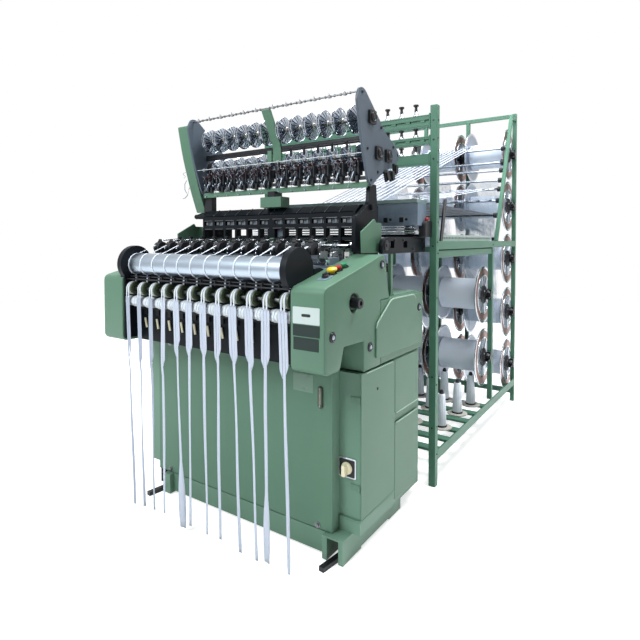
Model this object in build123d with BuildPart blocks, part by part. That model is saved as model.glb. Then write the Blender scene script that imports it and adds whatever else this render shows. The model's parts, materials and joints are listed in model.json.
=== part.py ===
from build123d import *
import os
from math import atan2, cos, degrees, hypot, pi, sin

os.makedirs("parts", exist_ok=True)

# Narrow-fabric needle loom with its warp creel behind it.
# Millimetres, +Z up. +X is the operator's right, -Y is the side the tapes hang on.
# The origin lies on the floor under the middle of the whole installation.

# Driving dimensions: loom body
loom_centre_x = -15.0
loom_width = 1280.0
plinth_right = 590.0
plinth_width = 1036.0
plinth_depth = 690.0
plinth_top = 100.0
plinth_underside = 14.0
pad_length = 120.0
pad_clearance = 6.0
pocket_width = 52.0
pocket_wall = 21.0
casing_depth = 690.0
casing_low_top = 775.0
casing_high_top = 1005.0
casing_step = 215.0
panel_gap = 65.0
panel_thickness = 4.0
panel_top = 760.0
cover_proud = 35.0

# Driving dimensions: arms, breast box and rollers
arm_reach = 205.0
arm_width = 146.0
arm_bottom = 778.0
arm_heel = 735.0
arm_nose_top = 1070.0
arm_peak = 1192.0
arm_peak_y = 240.0
breast_top = 1078.0
breast_front = 120.0
roller_radius = 50.0
roller_y = 145.0
roller_z = 1139.0
roller_flange_radius = 86.0
roller_flange_width = 30.0
pulley_radius = 30.0
pulley_width = 42.0
pulley_y = 170.0
pulley_z = 1027.0
delivery_radius = 26.0
delivery_z = 967.0

# Driving dimensions: weaving heads and tapes
heads = 12
head_pitch = 83.0
tape_width = 36.0
tape_thickness = 1.6
tape_band_bottom = 800.0
tape_run_width = 12.0
tape_tail_width = 8.0
tape_bottom = 42.0
bed_z = 1150.0
running_gap = 0.3

# Driving dimensions: heald unit and yarn feeder above it
harness_front = 285.0
harness_depth = 215.0
harness_top = 1410.0
harness_bottom = 1005.0
harness_width = 958.0
feeder_width = 1064.0
feeder_plate = 12.0
wheel_radius = 64.0
wheel_pitch = 80.0
wheel_centre_gap = 107.0
wheel_width = 30.0
upper_wheel_y = 328.0
upper_wheel_z = 1788.0
lower_wheel_y = 392.0
lower_wheel_z = 1640.0
lower_wheel_radius = 56.0

# Driving dimensions: warp stop box and creel
stop_box_front = 640.0
stop_box_depth = 110.0
stop_box_bottom = 1322.0
stop_box_top = 1432.0
post = 36.0
creel_right = 630.0
bays = 3
bay_pitch = 360.0
gate_y = 790.0
gate_height = 1925.0
beam_post_y = 1810.0
beam_post_top = 1203.0
slim_post = 30.0
rear_post = 28.0
rear_y = 2440.0
rear_shaft_y = 2390.0
front_shaft_y = 1765.0
shaft_radius = 12.5
rear_height = 2220.0
base_rail_bottom = 130.0
base_rail_height = 50.0
mid_rail_height = 42.0
beam_flange_radius = 190.0
beam_flange_thickness = 8.0
beam_length = 270.0
yarn_radius = 104.0
front_beam_levels = [468.0, 888.0]
rear_beam_levels = [300.0, 700.0, 1110.0, 1510.0, 1905.0]

# Places worked out from the values above
front = (arm_reach - rear_shaft_y - beam_flange_radius) / 2
loom_right = loom_centre_x + loom_width / 2
loom_left = loom_centre_x - loom_width / 2
arm_right = loom_right - arm_width
arm_left = loom_left + arm_width
side_x = loom_right - cover_proud
head_x = [loom_centre_x + (i - (heads - 1) / 2) * head_pitch for i in range(heads)]
harness_left = loom_centre_x - harness_width / 2
harness_right = loom_centre_x + harness_width / 2
plate_right = loom_centre_x + feeder_width / 2
plate_left = loom_centre_x - feeder_width / 2
post_x = [creel_right - i * bay_pitch for i in range(bays + 1)]
bay_x = [creel_right - (i + 0.5) * bay_pitch for i in range(bays)]
wheel_x = [loom_centre_x + side * (wheel_centre_gap / 2 + i * wheel_pitch)
           for side in (-1, 1) for i in range(heads // 2)]


def back(distance):
    """Y of a place so far behind the front face of the body."""
    return front + distance


def block(x0, x1, y0, y1, z0, z1, mode=Mode.ADD):
    """Box between three pairs of limits, the Y pair measured from the front face."""
    with Locations(((x0 + x1) / 2, back((y0 + y1) / 2), (z0 + z1) / 2)):
        Box(x1 - x0, y1 - y0, z1 - z0, mode=mode)


def round_bar(x0, x1, y, z, radius, mode=Mode.ADD):
    """Round bar along X."""
    with Locations(Location(((x0 + x1) / 2, back(y), z), (0, 90, 0))):
        Cylinder(radius, x1 - x0, mode=mode)


def upright_bar(x, y, z0, z1, radius, mode=Mode.ADD):
    """Round bar along Z."""
    with Locations((x, back(y), (z0 + z1) / 2)):
        Cylinder(radius, z1 - z0, mode=mode)


def lengthwise_bar(x, y0, y1, z, radius, mode=Mode.ADD):
    """Round bar along Y."""
    with Locations(Location((x, back((y0 + y1) / 2), z), (90, 0, 0))):
        Cylinder(radius, y1 - y0, mode=mode)


def side_plate(x0, x1, outline, mode=Mode.ADD):
    """Plate between two X planes with an outline of (distance behind the front, height) points."""
    with BuildSketch(Plane.YZ.offset(x0)) as flat:
        with BuildLine():
            Polyline(*[(back(y), z) for y, z in outline], close=True)
        make_face()
    extrude(flat.sketch, amount=x1 - x0, mode=mode)


def sloping_bar(x0, x1, start, end, depth, mode=Mode.ADD):
    """Flat bar between two (distance, height) points, as wide as the X planes and as deep as given."""
    run_y, run_z = end[0] - start[0], end[1] - start[1]
    length = hypot(run_y, run_z)
    side_y, side_z = -run_z / length * depth / 2, run_y / length * depth / 2
    side_plate(x0, x1, [
        (start[0] + side_y, start[1] + side_z),
        (end[0] + side_y, end[1] + side_z),
        (end[0] - side_y, end[1] - side_z),
        (start[0] - side_y, start[1] - side_z),
    ], mode)


def ribbon(x0, x1, path, thickness):
    """Thin band along a path of (distance, height) points, its thickness on the left of the path."""
    outer = []
    for i, (y, z) in enumerate(path):
        before = path[max(i - 1, 0)]
        after = path[min(i + 1, len(path) - 1)]
        run = hypot(after[0] - before[0], after[1] - before[1])
        outer.append((y - (after[1] - before[1]) / run * thickness, z + (after[0] - before[0]) / run * thickness))
    side_plate(x0, x1, path + outer[::-1])


# Plinth: a low steel base with a pad at each corner and an open pocket for each right foot
plinth_left = plinth_right - plinth_width
pocket_left = plinth_right - pocket_wall - pocket_width
pad_proud = 24.0
rear_pad_end = 490.0
pad_rows = ((-pad_proud, pad_length), (rear_pad_end - pad_length, rear_pad_end))
with BuildPart() as plinth:
    block(plinth_left, plinth_right, 0, rear_pad_end, plinth_underside, plinth_top)
    block(plinth_left, plinth_right, rear_pad_end, plinth_depth, 52, plinth_top)
    for y0, y1 in pad_rows:
        block(pocket_left - 22, plinth_right, y0, y1, pad_clearance, plinth_top)
        block(plinth_left, plinth_left + 44, y0, y1, pad_clearance, plinth_top)
        block(pocket_left, pocket_left + pocket_width, y0, y1, pad_clearance, plinth_top - 6, mode=Mode.SUBTRACT)
plinth.part.label = "plinth"
export_step(plinth.part, "parts/plinth.step")

# Levelling feet: a flat bar on the floor with a screw up into the plinth or into an end bracket
foot_width = 24.0
foot_height = 18.0
foot_length = 150.0
foot_turn = 8.0
foot_screw = 8.0
bracket_width = 60.0
bracket_wall = 7.0
bracket_bottom = foot_height + 12
with BuildPart() as levelling_feet:
    for row, (y0, y1) in enumerate(pad_rows):
        middle = (y0 + y1) / 2 + (-60 if row == 0 else 60)
        turn = -foot_turn if row == 0 else foot_turn
        for foot_x in (pocket_left + pocket_width / 2, plinth_left - bracket_width / 2):
            with Locations(Location((foot_x, back(middle), foot_height / 2), (0, 0, turn))):
                Box(foot_width, foot_length, foot_height)
            upright_bar(foot_x, (y0 + y1) / 2, foot_height, plinth_top - 6, foot_screw)
        block(plinth_left - bracket_width, plinth_left, y0 + 30, y1 - 30, bracket_bottom, plinth_top)
        block(plinth_left - bracket_width + bracket_wall, plinth_left - bracket_wall, y0 + 30, y1 - 30,
              bracket_bottom, plinth_top - 4, mode=Mode.SUBTRACT)
        upright_bar(plinth_left - bracket_width / 2, (y0 + y1) / 2, foot_height, plinth_top - 4, foot_screw)
levelling_feet.part.label = "levelling_feet"
export_step(levelling_feet.part, "parts/levelling_feet.step")

# Body casing: the welded gear case between the arms, stepped up behind the heads
cabinet_inner = side_x - 100
cabinet_front = 56.0
cabinet_rear = 350.0
cabinet_top = 730.0
with BuildPart() as body_casing:
    side_plate(arm_left, side_x, [
        (panel_thickness, plinth_top),
        (casing_depth, plinth_top),
        (casing_depth, casing_high_top),
        (casing_step, casing_high_top),
        (casing_step, casing_low_top),
        (panel_thickness, casing_low_top),
    ])
    block(side_x - panel_gap, side_x, 0, cabinet_front, plinth_top, casing_low_top, mode=Mode.SUBTRACT)
    block(cabinet_inner, side_x, cabinet_front, cabinet_rear, plinth_top, arm_heel, mode=Mode.SUBTRACT)
    block(arm_right, side_x, 0, casing_step, arm_heel, casing_low_top, mode=Mode.SUBTRACT)
    side_plate(loom_left + 20, arm_left, [
        (cabinet_front, plinth_top),
        (casing_depth, plinth_top),
        (casing_depth, casing_high_top),
        (casing_step, casing_high_top),
        (casing_step, casing_low_top),
        (cabinet_front, casing_low_top),
    ])
body_casing.part.label = "body_casing"
export_step(body_casing.part, "parts/body_casing.step")

# Front panel: the plain sheet over the front of the casing
with BuildPart() as front_panel:
    block(arm_left, side_x - panel_gap, 0, panel_thickness, plinth_top, panel_top)
    fillet(front_panel.edges().filter_by(Axis.Y).group_by(Axis.Z)[-1], 6)
front_panel.part.label = "front_panel"
export_step(front_panel.part, "parts/front_panel.step")

# Oil sight glass: a narrow window in a black frame low on the front panel's right side
glass_x = side_x - 116
with BuildPart() as oil_sight_glass:
    block(glass_x - 14, glass_x + 14, -9, 0, 588, 674)
    fillet(oil_sight_glass.edges().filter_by(Axis.Y), 10)
    block(glass_x - 7, glass_x + 7, -9, -6, 600, 662, mode=Mode.SUBTRACT)
oil_sight_glass.part.label = "oil_sight_glass"
export_step(oil_sight_glass.part, "parts/oil_sight_glass.step")

# Control cabinet: a sheet box let into the right side, open to the side under its door
cabinet_wall = 4.0
cabinet_bottom = 156.0
door_thickness = 4.0
with BuildPart() as control_cabinet:
    block(cabinet_inner, loom_right - door_thickness - running_gap, cabinet_front, cabinet_rear,
          cabinet_bottom, cabinet_top)
    block(cabinet_inner + cabinet_wall, loom_right, cabinet_front + cabinet_wall, cabinet_rear - cabinet_wall,
          cabinet_bottom + cabinet_wall, cabinet_top - cabinet_wall, mode=Mode.SUBTRACT)
    block(cabinet_inner, loom_right - 1, cabinet_front, cabinet_rear, plinth_top, cabinet_bottom)
    block(side_x - panel_gap + 4, loom_right - 1, cabinet_front - 8, cabinet_front, plinth_top, cabinet_bottom)
control_cabinet.part.label = "control_cabinet"
export_step(control_cabinet.part, "parts/control_cabinet.step")

# Cabinet door: a flat sheet hinged along its front edge
with BuildPart() as cabinet_door:
    block(loom_right - door_thickness, loom_right, cabinet_front, cabinet_rear - running_gap,
          cabinet_bottom + running_gap, cabinet_top - running_gap)
cabinet_door.part.label = "cabinet_door"
export_step(cabinet_door.part, "parts/cabinet_door.step")

# Main switch: a square plate on the cabinet's front with a turning handle
switch_x = side_x - 26
switch_z = 353.0
switch_size = 78.0
with BuildPart() as main_switch_plate:
    block(switch_x - switch_size / 2, switch_x + switch_size / 2, cabinet_front - 5, cabinet_front,
          switch_z - switch_size / 2, switch_z + switch_size / 2)
    block(switch_x - 33, switch_x + 33, cabinet_front - 7, cabinet_front - 5, switch_z - 33, switch_z + 33)
main_switch_plate.part.label = "main_switch_plate"
export_step(main_switch_plate.part, "parts/main_switch_plate.step")

with BuildPart() as main_switch_knob:
    lengthwise_bar(switch_x, cabinet_front - 17, cabinet_front - 7 - running_gap, switch_z, 22)
    block(switch_x - 6, switch_x + 6, cabinet_front - 30, cabinet_front - 17, switch_z - 21, switch_z + 21)
main_switch_knob.part.label = "main_switch_knob"
export_step(main_switch_knob.part, "parts/main_switch_knob.step")

# Right upper cover: the raised panel behind the arm
upper_cover_rear = 660.0
field_proud = 7.0
with BuildPart() as right_upper_cover:
    block(side_x, loom_right, casing_step, upper_cover_rear, arm_heel, casing_high_top)
    side_plate(loom_right, loom_right + field_proud, [
        (168, arm_heel + 36),
        (168, 906),
        (306, 1000),
        (543, 1000),
        (572, 965),
        (580, 900),
        (606, 868),
        (642, 860),
        (642, arm_heel + 30),
    ])
right_upper_cover.part.label = "right_upper_cover"
export_step(right_upper_cover.part, "parts/right_upper_cover.step")

# Right lower cover: the side sheet behind the cabinet with two raised fields and a rib between them
lower_cover_rear = 616.0
with BuildPart() as right_lower_cover:
    block(side_x, loom_right - 8, cabinet_rear + running_gap, lower_cover_rear, plinth_top, arm_heel)
    block(loom_right - 8, loom_right, cabinet_rear + running_gap + 4, lower_cover_rear - 6, 492, arm_heel - 6)
    block(loom_right - 8, loom_right, cabinet_rear + running_gap + 4, lower_cover_rear - 6, plinth_top + 8, 448)
right_lower_cover.part.label = "right_lower_cover"
export_step(right_lower_cover.part, "parts/right_lower_cover.step")

# Arms: the two big side housings that carry the rollers and the controls
shaft_y = 2.0
shaft_z = 1014.0
shaft_hole = 41.0
arm_outline = [
    (-arm_reach + 4, arm_bottom),
    (-arm_reach, arm_bottom + 10),
    (-arm_reach, arm_nose_top - 10),
    (-arm_reach + 5, arm_nose_top + 8),
    (-arm_reach + 20, arm_nose_top + 16),
    (arm_peak_y - 12, arm_peak - 2),
    (arm_peak_y + 4, arm_peak),
    (arm_peak_y + 22, arm_peak - 32),
    (281, 1065),
    (296, casing_high_top),
    (casing_step, casing_high_top),
    (casing_step, arm_heel),
]
with BuildPart() as right_arm:
    side_plate(arm_right, loom_right, arm_outline + [
        (76, arm_heel),
        (76, 857),
        (-73, 860),
        (-101, arm_bottom),
    ])
    block(arm_right, side_x, cabinet_front, casing_step, 0, arm_heel, mode=Mode.SUBTRACT)
    round_bar(loom_right - 34, loom_right, shaft_y, shaft_z, shaft_hole, mode=Mode.SUBTRACT)
right_arm.part.label = "right_arm"
export_step(right_arm.part, "parts/right_arm.step")

with BuildPart() as left_arm:
    side_plate(loom_left, arm_left, arm_outline[:-1] + [(casing_step, casing_low_top), (-60, casing_low_top)])
left_arm.part.label = "left_arm"
export_step(left_arm.part, "parts/left_arm.step")

# Cover latches: round quarter-turn locks on the right side
latch_radius = 17.0
with BuildPart() as cover_latches:
    for latch_y, latch_z in ((-153, 908), (124, 826), (226, 1150), (612, 932)):
        round_bar(loom_right, loom_right + 5, latch_y, latch_z, latch_radius)
cover_latches.part.label = "cover_latches"
export_step(cover_latches.part, "parts/cover_latches.step")

# Hand shaft: the stub for turning the loom by hand, in the round hole of the right arm
with BuildPart() as hand_shaft:
    round_bar(loom_right - 34 + running_gap, loom_right + 28, shaft_y, shaft_z, 16)
    round_bar(loom_right - 20, loom_right - 8, shaft_y, shaft_z, 30)
hand_shaft.part.label = "hand_shaft"
export_step(hand_shaft.part, "parts/hand_shaft.step")

# Breast box: the black cross housing between the arms with the guide bar along its top
with BuildPart() as breast_box:
    side_plate(arm_left, arm_right, [
        (-breast_front, casing_low_top),
        (casing_step, casing_low_top),
        (casing_step, casing_high_top),
        (150, breast_top),
        (-148, breast_top),
        (-148, breast_top - 14),
        (-breast_front, breast_top - 24),
    ])
breast_box.part.label = "breast_box"
export_step(breast_box.part, "parts/breast_box.step")

# Roller end housings: round black drums at the ends of the take-up roller
with BuildPart() as roller_end_housings:
    for x0 in (arm_left, arm_right - roller_flange_width):
        round_bar(x0, x0 + roller_flange_width, -roller_y, roller_z, roller_flange_radius)
        round_bar(x0, x0 + roller_flange_width, -15, breast_top + 20, 46)
        block(x0, x0 + roller_flange_width, -300, 120, 900, breast_top, mode=Mode.SUBTRACT)
roller_end_housings.part.label = "roller_end_housings"
export_step(roller_end_housings.part, "parts/roller_end_housings.step")

# Take-up roller: bright steel, between the two drums
roller_left = arm_left + roller_flange_width + running_gap
roller_right = arm_right - roller_flange_width - running_gap
with BuildPart() as take_up_roller:
    round_bar(roller_left, roller_right, -roller_y, roller_z, roller_radius)
take_up_roller.part.label = "take_up_roller"
export_step(take_up_roller.part, "parts/take_up_roller.step")

# Press roller: rubber covered, behind the take-up roller
press_radius = 34.0
press_y = roller_y - roller_radius - press_radius - 1.5
press_z = roller_z - 6
with BuildPart() as press_roller:
    round_bar(roller_left, roller_right, -press_y, press_z, press_radius)
press_roller.part.label = "press_roller"
export_step(press_roller.part, "parts/press_roller.step")

# Tape pulleys: one for each tape, all on one shaft between the arms
with BuildPart() as tape_pulleys:
    round_bar(arm_left + running_gap, arm_right - running_gap, -pulley_y, pulley_z, 8)
    for x in head_x:
        round_bar(x - pulley_width / 2, x + pulley_width / 2, -pulley_y, pulley_z, pulley_radius)
tape_pulleys.part.label = "tape_pulleys"
export_step(tape_pulleys.part, "parts/tape_pulleys.step")

# Delivery roller: the pale roller with a ring between the tapes, under the pulleys
with BuildPart() as delivery_roller:
    round_bar(arm_left + running_gap, arm_right - running_gap, -pulley_y, delivery_z, 8)
    round_bar(arm_left + 12, arm_right - 12, -pulley_y, delivery_z, delivery_radius - 3)
    for x in [place + head_pitch / 2 for place in head_x[:-1]]:
        round_bar(x - 9, x + 9, -pulley_y, delivery_z, delivery_radius)
delivery_roller.part.label = "delivery_roller"
export_step(delivery_roller.part, "parts/delivery_roller.step")

# Woven tapes: each runs from its head over the take-up roller and its pulley, then hangs to the floor
tape_face = pulley_y + pulley_radius + 0.4
turn_steps = [pi * (0.5 + i / 12) for i in range(8)]
roller_wrap = [(-roller_y + (roller_radius + 1) * cos(a), roller_z + (roller_radius + 1) * sin(a))
               for a in turn_steps]
pulley_wrap = [(-pulley_y + (pulley_radius + 1.4) * cos(a), pulley_z + (pulley_radius + 1.4) * sin(a))
               for a in turn_steps[1:7]]
tape_path = pulley_wrap[::-1] + roller_wrap[::-1] + [(-40, roller_z + roller_radius + 2), (30, bed_z + 46)]
with BuildPart() as woven_tapes:
    for x in head_x:
        ribbon(x - tape_run_width / 2, x + tape_run_width / 2, tape_path, tape_thickness)
        block(x - tape_width / 2, x + tape_width / 2, -tape_face - tape_thickness, -tape_face,
              tape_band_bottom, pulley_z + 6)
        block(x - tape_tail_width / 2, x + tape_tail_width / 2, -tape_face - tape_thickness, -tape_face,
              tape_bottom, tape_band_bottom)
woven_tapes.part.label = "woven_tapes"
export_step(woven_tapes.part, "parts/woven_tapes.step")

# Control buttons on the sloping top of the right arm
slope_start = (-arm_reach + 20, arm_nose_top + 16)
slope_end = (arm_peak_y - 12, arm_peak - 2)
slope_angle = atan2(slope_end[1] - slope_start[1], slope_end[0] - slope_start[0])
button_x = side_x - 38
button_rows = {"jog": -38.0, "stop": 4.0, "start": 46.0, "mode": -86.0}
collar_height = 7.0
stem_radius = 10.0


def on_slope(y, lift):
    """Place on the arm's sloping top, so far off it, its Z across the slope."""
    z = slope_start[1] + (y - slope_start[0]) * sin(slope_angle) / cos(slope_angle)
    return Location((button_x, back(y) - lift * sin(slope_angle), z + lift * cos(slope_angle)),
                    (degrees(slope_angle), 0, 0))


with BuildPart() as button_collars:
    for name in ("jog", "stop", "start"):
        with Locations(on_slope(button_rows[name], collar_height / 2)):
            Cylinder(16, collar_height)
            Cylinder(stem_radius + running_gap, collar_height, mode=Mode.SUBTRACT)
    with Locations(on_slope(button_rows["mode"], 2)):
        Box(40, 52, 4)
button_collars.part.label = "button_collars"
export_step(button_collars.part, "parts/button_collars.step")

button_rest = collar_height + 3.0
stem_bottom = 3.0


def button_stem(name):
    """Stem of a button, down into the bore of its collar."""
    with Locations(on_slope(button_rows[name], (stem_bottom + button_rest + 3) / 2)):
        Cylinder(stem_radius, button_rest + 3 - stem_bottom)


with BuildPart() as start_button:
    with Locations(on_slope(button_rows["start"], button_rest + 3)):
        Cylinder(13, 6)
    button_stem("start")
start_button.part.label = "start_button"
export_step(start_button.part, "parts/start_button.step")

with BuildPart() as stop_button:
    with Locations(on_slope(button_rows["stop"], button_rest + 4)):
        Cylinder(14, 8)
    button_stem("stop")
stop_button.part.label = "stop_button"
export_step(stop_button.part, "parts/stop_button.step")

with BuildPart() as jog_button:
    with Locations(on_slope(button_rows["jog"], button_rest + 9)):
        Cylinder(20, 12)
    button_stem("jog")
jog_button.part.label = "jog_button"
export_step(jog_button.part, "parts/jog_button.step")

with BuildPart() as mode_switch:
    with Locations(on_slope(button_rows["mode"], 4 + running_gap + 5)):
        Cylinder(14, 10)
    with Locations(on_slope(button_rows["mode"], 4 + running_gap + 13)):
        Box(7, 27, 8)
mode_switch.part.label = "mode_switch"
export_step(mode_switch.part, "parts/mode_switch.step")

# Weaving beds: twelve head blocks on one cross bar behind the rollers
bed_front = 34.0
bed_rear = 146.0
with BuildPart() as weaving_beds:
    block(arm_left, arm_right, bed_front, bed_rear, breast_top, bed_z)
    for x in head_x:
        block(x - 25, x + 25, bed_front + 22, bed_rear, bed_z, bed_z + 40)
        block(x - 18, x + 18, bed_front + 40, bed_rear - 30, bed_z + 40, bed_z + 54)
weaving_beds.part.label = "weaving_beds"
export_step(weaving_beds.part, "parts/weaving_beds.step")

# Knitting needles: one short needle for each head on a bar that slides across the front of the beds
with BuildPart() as knitting_needles:
    block(head_x[0] - 30, head_x[-1] + 30, bed_front + 1, bed_front + 12, bed_z + running_gap, bed_z + 12)
    for x in head_x:
        block(x + 29, x + 32, bed_front + 4, bed_front + 60, bed_z + 12, bed_z + 15)
knitting_needles.part.label = "knitting_needles"
export_step(knitting_needles.part, "parts/knitting_needles.step")

# Reeds: twelve bright combs on the rocking sley bar behind the beds
reed_y = 176.0
with BuildPart() as sley_reeds:
    block(arm_left + running_gap, arm_right - running_gap, reed_y - 10, reed_y + 12, bed_z - 64, bed_z - 34)
    for x in head_x:
        block(x - 26, x + 26, reed_y - 4, reed_y + 4, bed_z - 34, bed_z + 64)
sley_reeds.part.label = "sley_reeds"
export_step(sley_reeds.part, "parts/sley_reeds.step")

# Weft needles: a rocking shaft behind the reeds with one bright arm for each head
needle_y = 246.0
needle_z = 1226.0
with BuildPart() as weft_needles:
    round_bar(harness_left - 20 + running_gap, harness_right + 20 - running_gap, needle_y, needle_z, 9)
    for x in head_x:
        sloping_bar(x + 30, x + 36, (needle_y, needle_z + 4), (needle_y - 150, needle_z - 22), 12)
        block(x + 28, x + 38, needle_y - 14, needle_y + 14, needle_z - 14, needle_z + 14)
weft_needles.part.label = "weft_needles"
export_step(weft_needles.part, "parts/weft_needles.step")

# Harness frame: the black open frame that guides the healds
wall = 12.0
harness_rear = harness_front + harness_depth
inner_harness = (harness_left + wall + running_gap, harness_right - wall - running_gap)
with BuildPart() as harness_frame:
    for x0 in (harness_left, harness_right - wall):
        block(x0, x0 + wall, harness_front, harness_rear, casing_high_top, harness_top)
    for y0 in (harness_front, harness_rear - 16):
        block(*inner_harness, y0, y0 + 16, harness_top - 60, harness_top)
        block(*inner_harness, y0, y0 + 16, casing_high_top, casing_high_top + 50)
        block(loom_centre_x - 30, loom_centre_x + 30, y0, y0 + 16,
              casing_high_top + 50 + running_gap, harness_top - 60 - running_gap)
    for x0, x1 in ((plate_left + running_gap, harness_left - running_gap),
                   (harness_right + running_gap, plate_right - running_gap)):
        block(x0, x1, harness_front + 60, harness_front + 84, harness_top - 26, harness_top)
    for x0, x1 in ((harness_left - 28, harness_left - running_gap), (harness_right + running_gap, harness_right + 28)):
        block(x0, x1, needle_y - 26, harness_front + 40, needle_z - 30, needle_z + 30)
    for x0, x1 in ((harness_left - 20, harness_left), (harness_right, harness_right + 20)):
        block(x0, x1, needle_y - 26, harness_front, needle_z - 30, needle_z + 30, mode=Mode.SUBTRACT)
harness_frame.part.label = "harness_frame"
export_step(harness_frame.part, "parts/harness_frame.step")

# Heald frames: two sets, one rising while the other sinks
heald_bottom = casing_high_top + 90
heald_top = harness_top - 100


def heald_set(y0, y1):
    """Two open frames side by side with one bundle of healds for each head."""
    for x0, x1 in ((harness_left + wall + running_gap, loom_centre_x - running_gap / 2),
                   (loom_centre_x + running_gap / 2, harness_right - wall - running_gap)):
        block(x0, x1, y0, y1, heald_top - 22, heald_top)
        block(x0, x1, y0, y1, heald_bottom, heald_bottom + 22)
        for edge in (x0, x1 - 8):
            block(edge, edge + 8, y0, y1, heald_bottom + 22, heald_top - 22)
    for x in head_x:
        if abs(x - loom_centre_x) < harness_width / 2 - 40:
            block(x - 18, x + 18, (y0 + y1) / 2 - 2, (y0 + y1) / 2 + 2, heald_bottom + 22, heald_top - 22)


with BuildPart() as heald_frames_front:
    heald_set(harness_front + 40, harness_front + 54)
heald_frames_front.part.label = "heald_frames_front"
export_step(heald_frames_front.part, "parts/heald_frames_front.step")

with BuildPart() as heald_frames_rear:
    heald_set(harness_front + 110, harness_front + 124)
heald_frames_rear.part.label = "heald_frames_rear"
export_step(heald_frames_rear.part, "parts/heald_frames_rear.step")

# Side arms: black bars back from the body to the creel, on green posts, one at each side
side_arm_bottom = 1190.0
side_arm_top = 1266.0
with BuildPart() as side_arms:
    for x0, x1 in ((side_x - 20, side_x), (loom_left + 35, loom_left + 55)):
        side_plate(x0, x1, [
            (harness_front + 5, side_arm_bottom),
            (gate_y - post / 2, side_arm_bottom),
            (gate_y - post / 2, side_arm_top),
            (harness_front + 40, side_arm_top),
            (harness_front + 5, side_arm_top - 34),
        ])
        for y0 in (harness_front + 90, harness_front + 175):
            block(x0, x1, y0, y0 + 22, side_arm_bottom + 28, side_arm_bottom + 54, mode=Mode.SUBTRACT)
side_arms.part.label = "side_arms"
export_step(side_arms.part, "parts/side_arms.step")

# Feeder side plates: the two grey cheeks of the yarn feeder
plate_outline = [
    (236, 1898),
    (266, 1898),
    (425, 1783),
    (467, 1743),
    (572, 1702),
    (619, 1665),
    (600, 1630),
    (394, 1530),
    (336, 1488),
    (305, 1513),
    (242, 1696),
    (210, 1852),
]
with BuildPart() as feeder_side_plates:
    side_plate(plate_left, plate_left + feeder_plate, plate_outline)
    side_plate(plate_right - feeder_plate, plate_right, plate_outline)
feeder_side_plates.part.label = "feeder_side_plates"
export_step(feeder_side_plates.part, "parts/feeder_side_plates.step")

# Feeder frame: the posts, angles and brackets that carry the feeder over the heald unit
inner_left = plate_left + feeder_plate
inner_right = plate_right - feeder_plate
with BuildPart() as feeder_frame:
    block(inner_left, inner_right, 318, 368, 1490, 1520)
    block(inner_left, inner_right, 318, 326, 1462, 1490 - running_gap)
    block(inner_left, inner_right, 330, 362, 1700, 1716)
    block(loom_centre_x - 24, loom_centre_x + 20, harness_front, harness_front + 70,
          harness_top, 1462 - running_gap)
    side_plate(loom_centre_x - 34, loom_centre_x + 34, [
        (246, 1878),
        (256, 1878),
        (344, 1716 + running_gap),
        (334, 1716 + running_gap),
    ])
    side_plate(plate_left - 74, plate_left, [
        (210, 1846),
        (242, 1696),
        (300, 1513),
        (286, 1410),
        (306, 1410),
        (322, 1513),
        (266, 1696),
        (234, 1846),
    ])
    for x0, x1 in ((plate_right + 28 + running_gap, plate_right + 36), (plate_left - 36, plate_left - 28 - running_gap)):
        side_plate(x0, x1, [
            (272, side_arm_bottom + 4),
            (450, side_arm_bottom),
            (450, 1319),
            (366, 1352),
            (254, 1290),
        ])
    for x0, x1 in ((plate_right + 36 + running_gap, side_x - 20), (loom_left + 55, plate_left - 36 - running_gap)):
        block(x0, x1, 400, 440, side_arm_bottom + 10, side_arm_bottom + 50)
    for x0, x1 in ((plate_right, plate_right + 28), (plate_left - 28, plate_left)):
        block(x0, x1, 330, 366, 1300, 1560)
    for x0, x1 in ((side_x - 16, side_x - 2), (loom_left + 38, loom_left + 52)):
        for y0 in (395, 640):
            block(x0, x1, y0, y0 + 14, casing_high_top, side_arm_bottom)
feeder_frame.part.label = "feeder_frame"
export_step(feeder_frame.part, "parts/feeder_frame.step")

# Feeder bearings: black square hubs on the outside of the cheeks
with BuildPart() as feeder_bearings:
    for x0, x1 in ((plate_right, plate_right + 16), (plate_left - 16, plate_left)):
        for y, z, half in ((upper_wheel_y, upper_wheel_z, 24), (lower_wheel_y, lower_wheel_z, 24),
                           (510, 1650, 22), (448, 1562, 20), (537, 1628, 18)):
            block(x0, x1, y - half, y + half, z - half, z + half)
feeder_bearings.part.label = "feeder_bearings"
export_step(feeder_bearings.part, "parts/feeder_bearings.step")


def feed_wheels(y, z, radius):
    """Twelve bright wheels on one shaft between the cheeks."""
    round_bar(inner_left + running_gap, inner_right - running_gap, y, z, 9)
    for x in wheel_x:
        round_bar(x - wheel_width / 2, x - wheel_width / 2 + 7, y, z, radius)
        round_bar(x - wheel_width / 2 + 7, x + wheel_width / 2, y, z, radius * 0.45)


with BuildPart() as upper_feed_wheels:
    feed_wheels(upper_wheel_y, upper_wheel_z, wheel_radius)
upper_feed_wheels.part.label = "upper_feed_wheels"
export_step(upper_feed_wheels.part, "parts/upper_feed_wheels.step")

with BuildPart() as lower_feed_wheels:
    feed_wheels(lower_wheel_y, lower_wheel_z, lower_wheel_radius)
lower_feed_wheels.part.label = "lower_feed_wheels"
export_step(lower_feed_wheels.part, "parts/lower_feed_wheels.step")

# Thread guides: the top rod with a clip for each thread and the lower rod with a bead for each
guide_rod_radius = 6.0
with BuildPart() as thread_guides:
    round_bar(inner_left, inner_right, 246, 1884, guide_rod_radius)
    round_bar(inner_left, inner_right, 272, 1628, guide_rod_radius)
    for x in wheel_x:
        round_bar(x - 4, x + 4, 246, 1884, 11)
        round_bar(x - 9, x + 9, 272, 1628, 12)
thread_guides.part.label = "thread_guides"
export_step(thread_guides.part, "parts/thread_guides.step")

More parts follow.
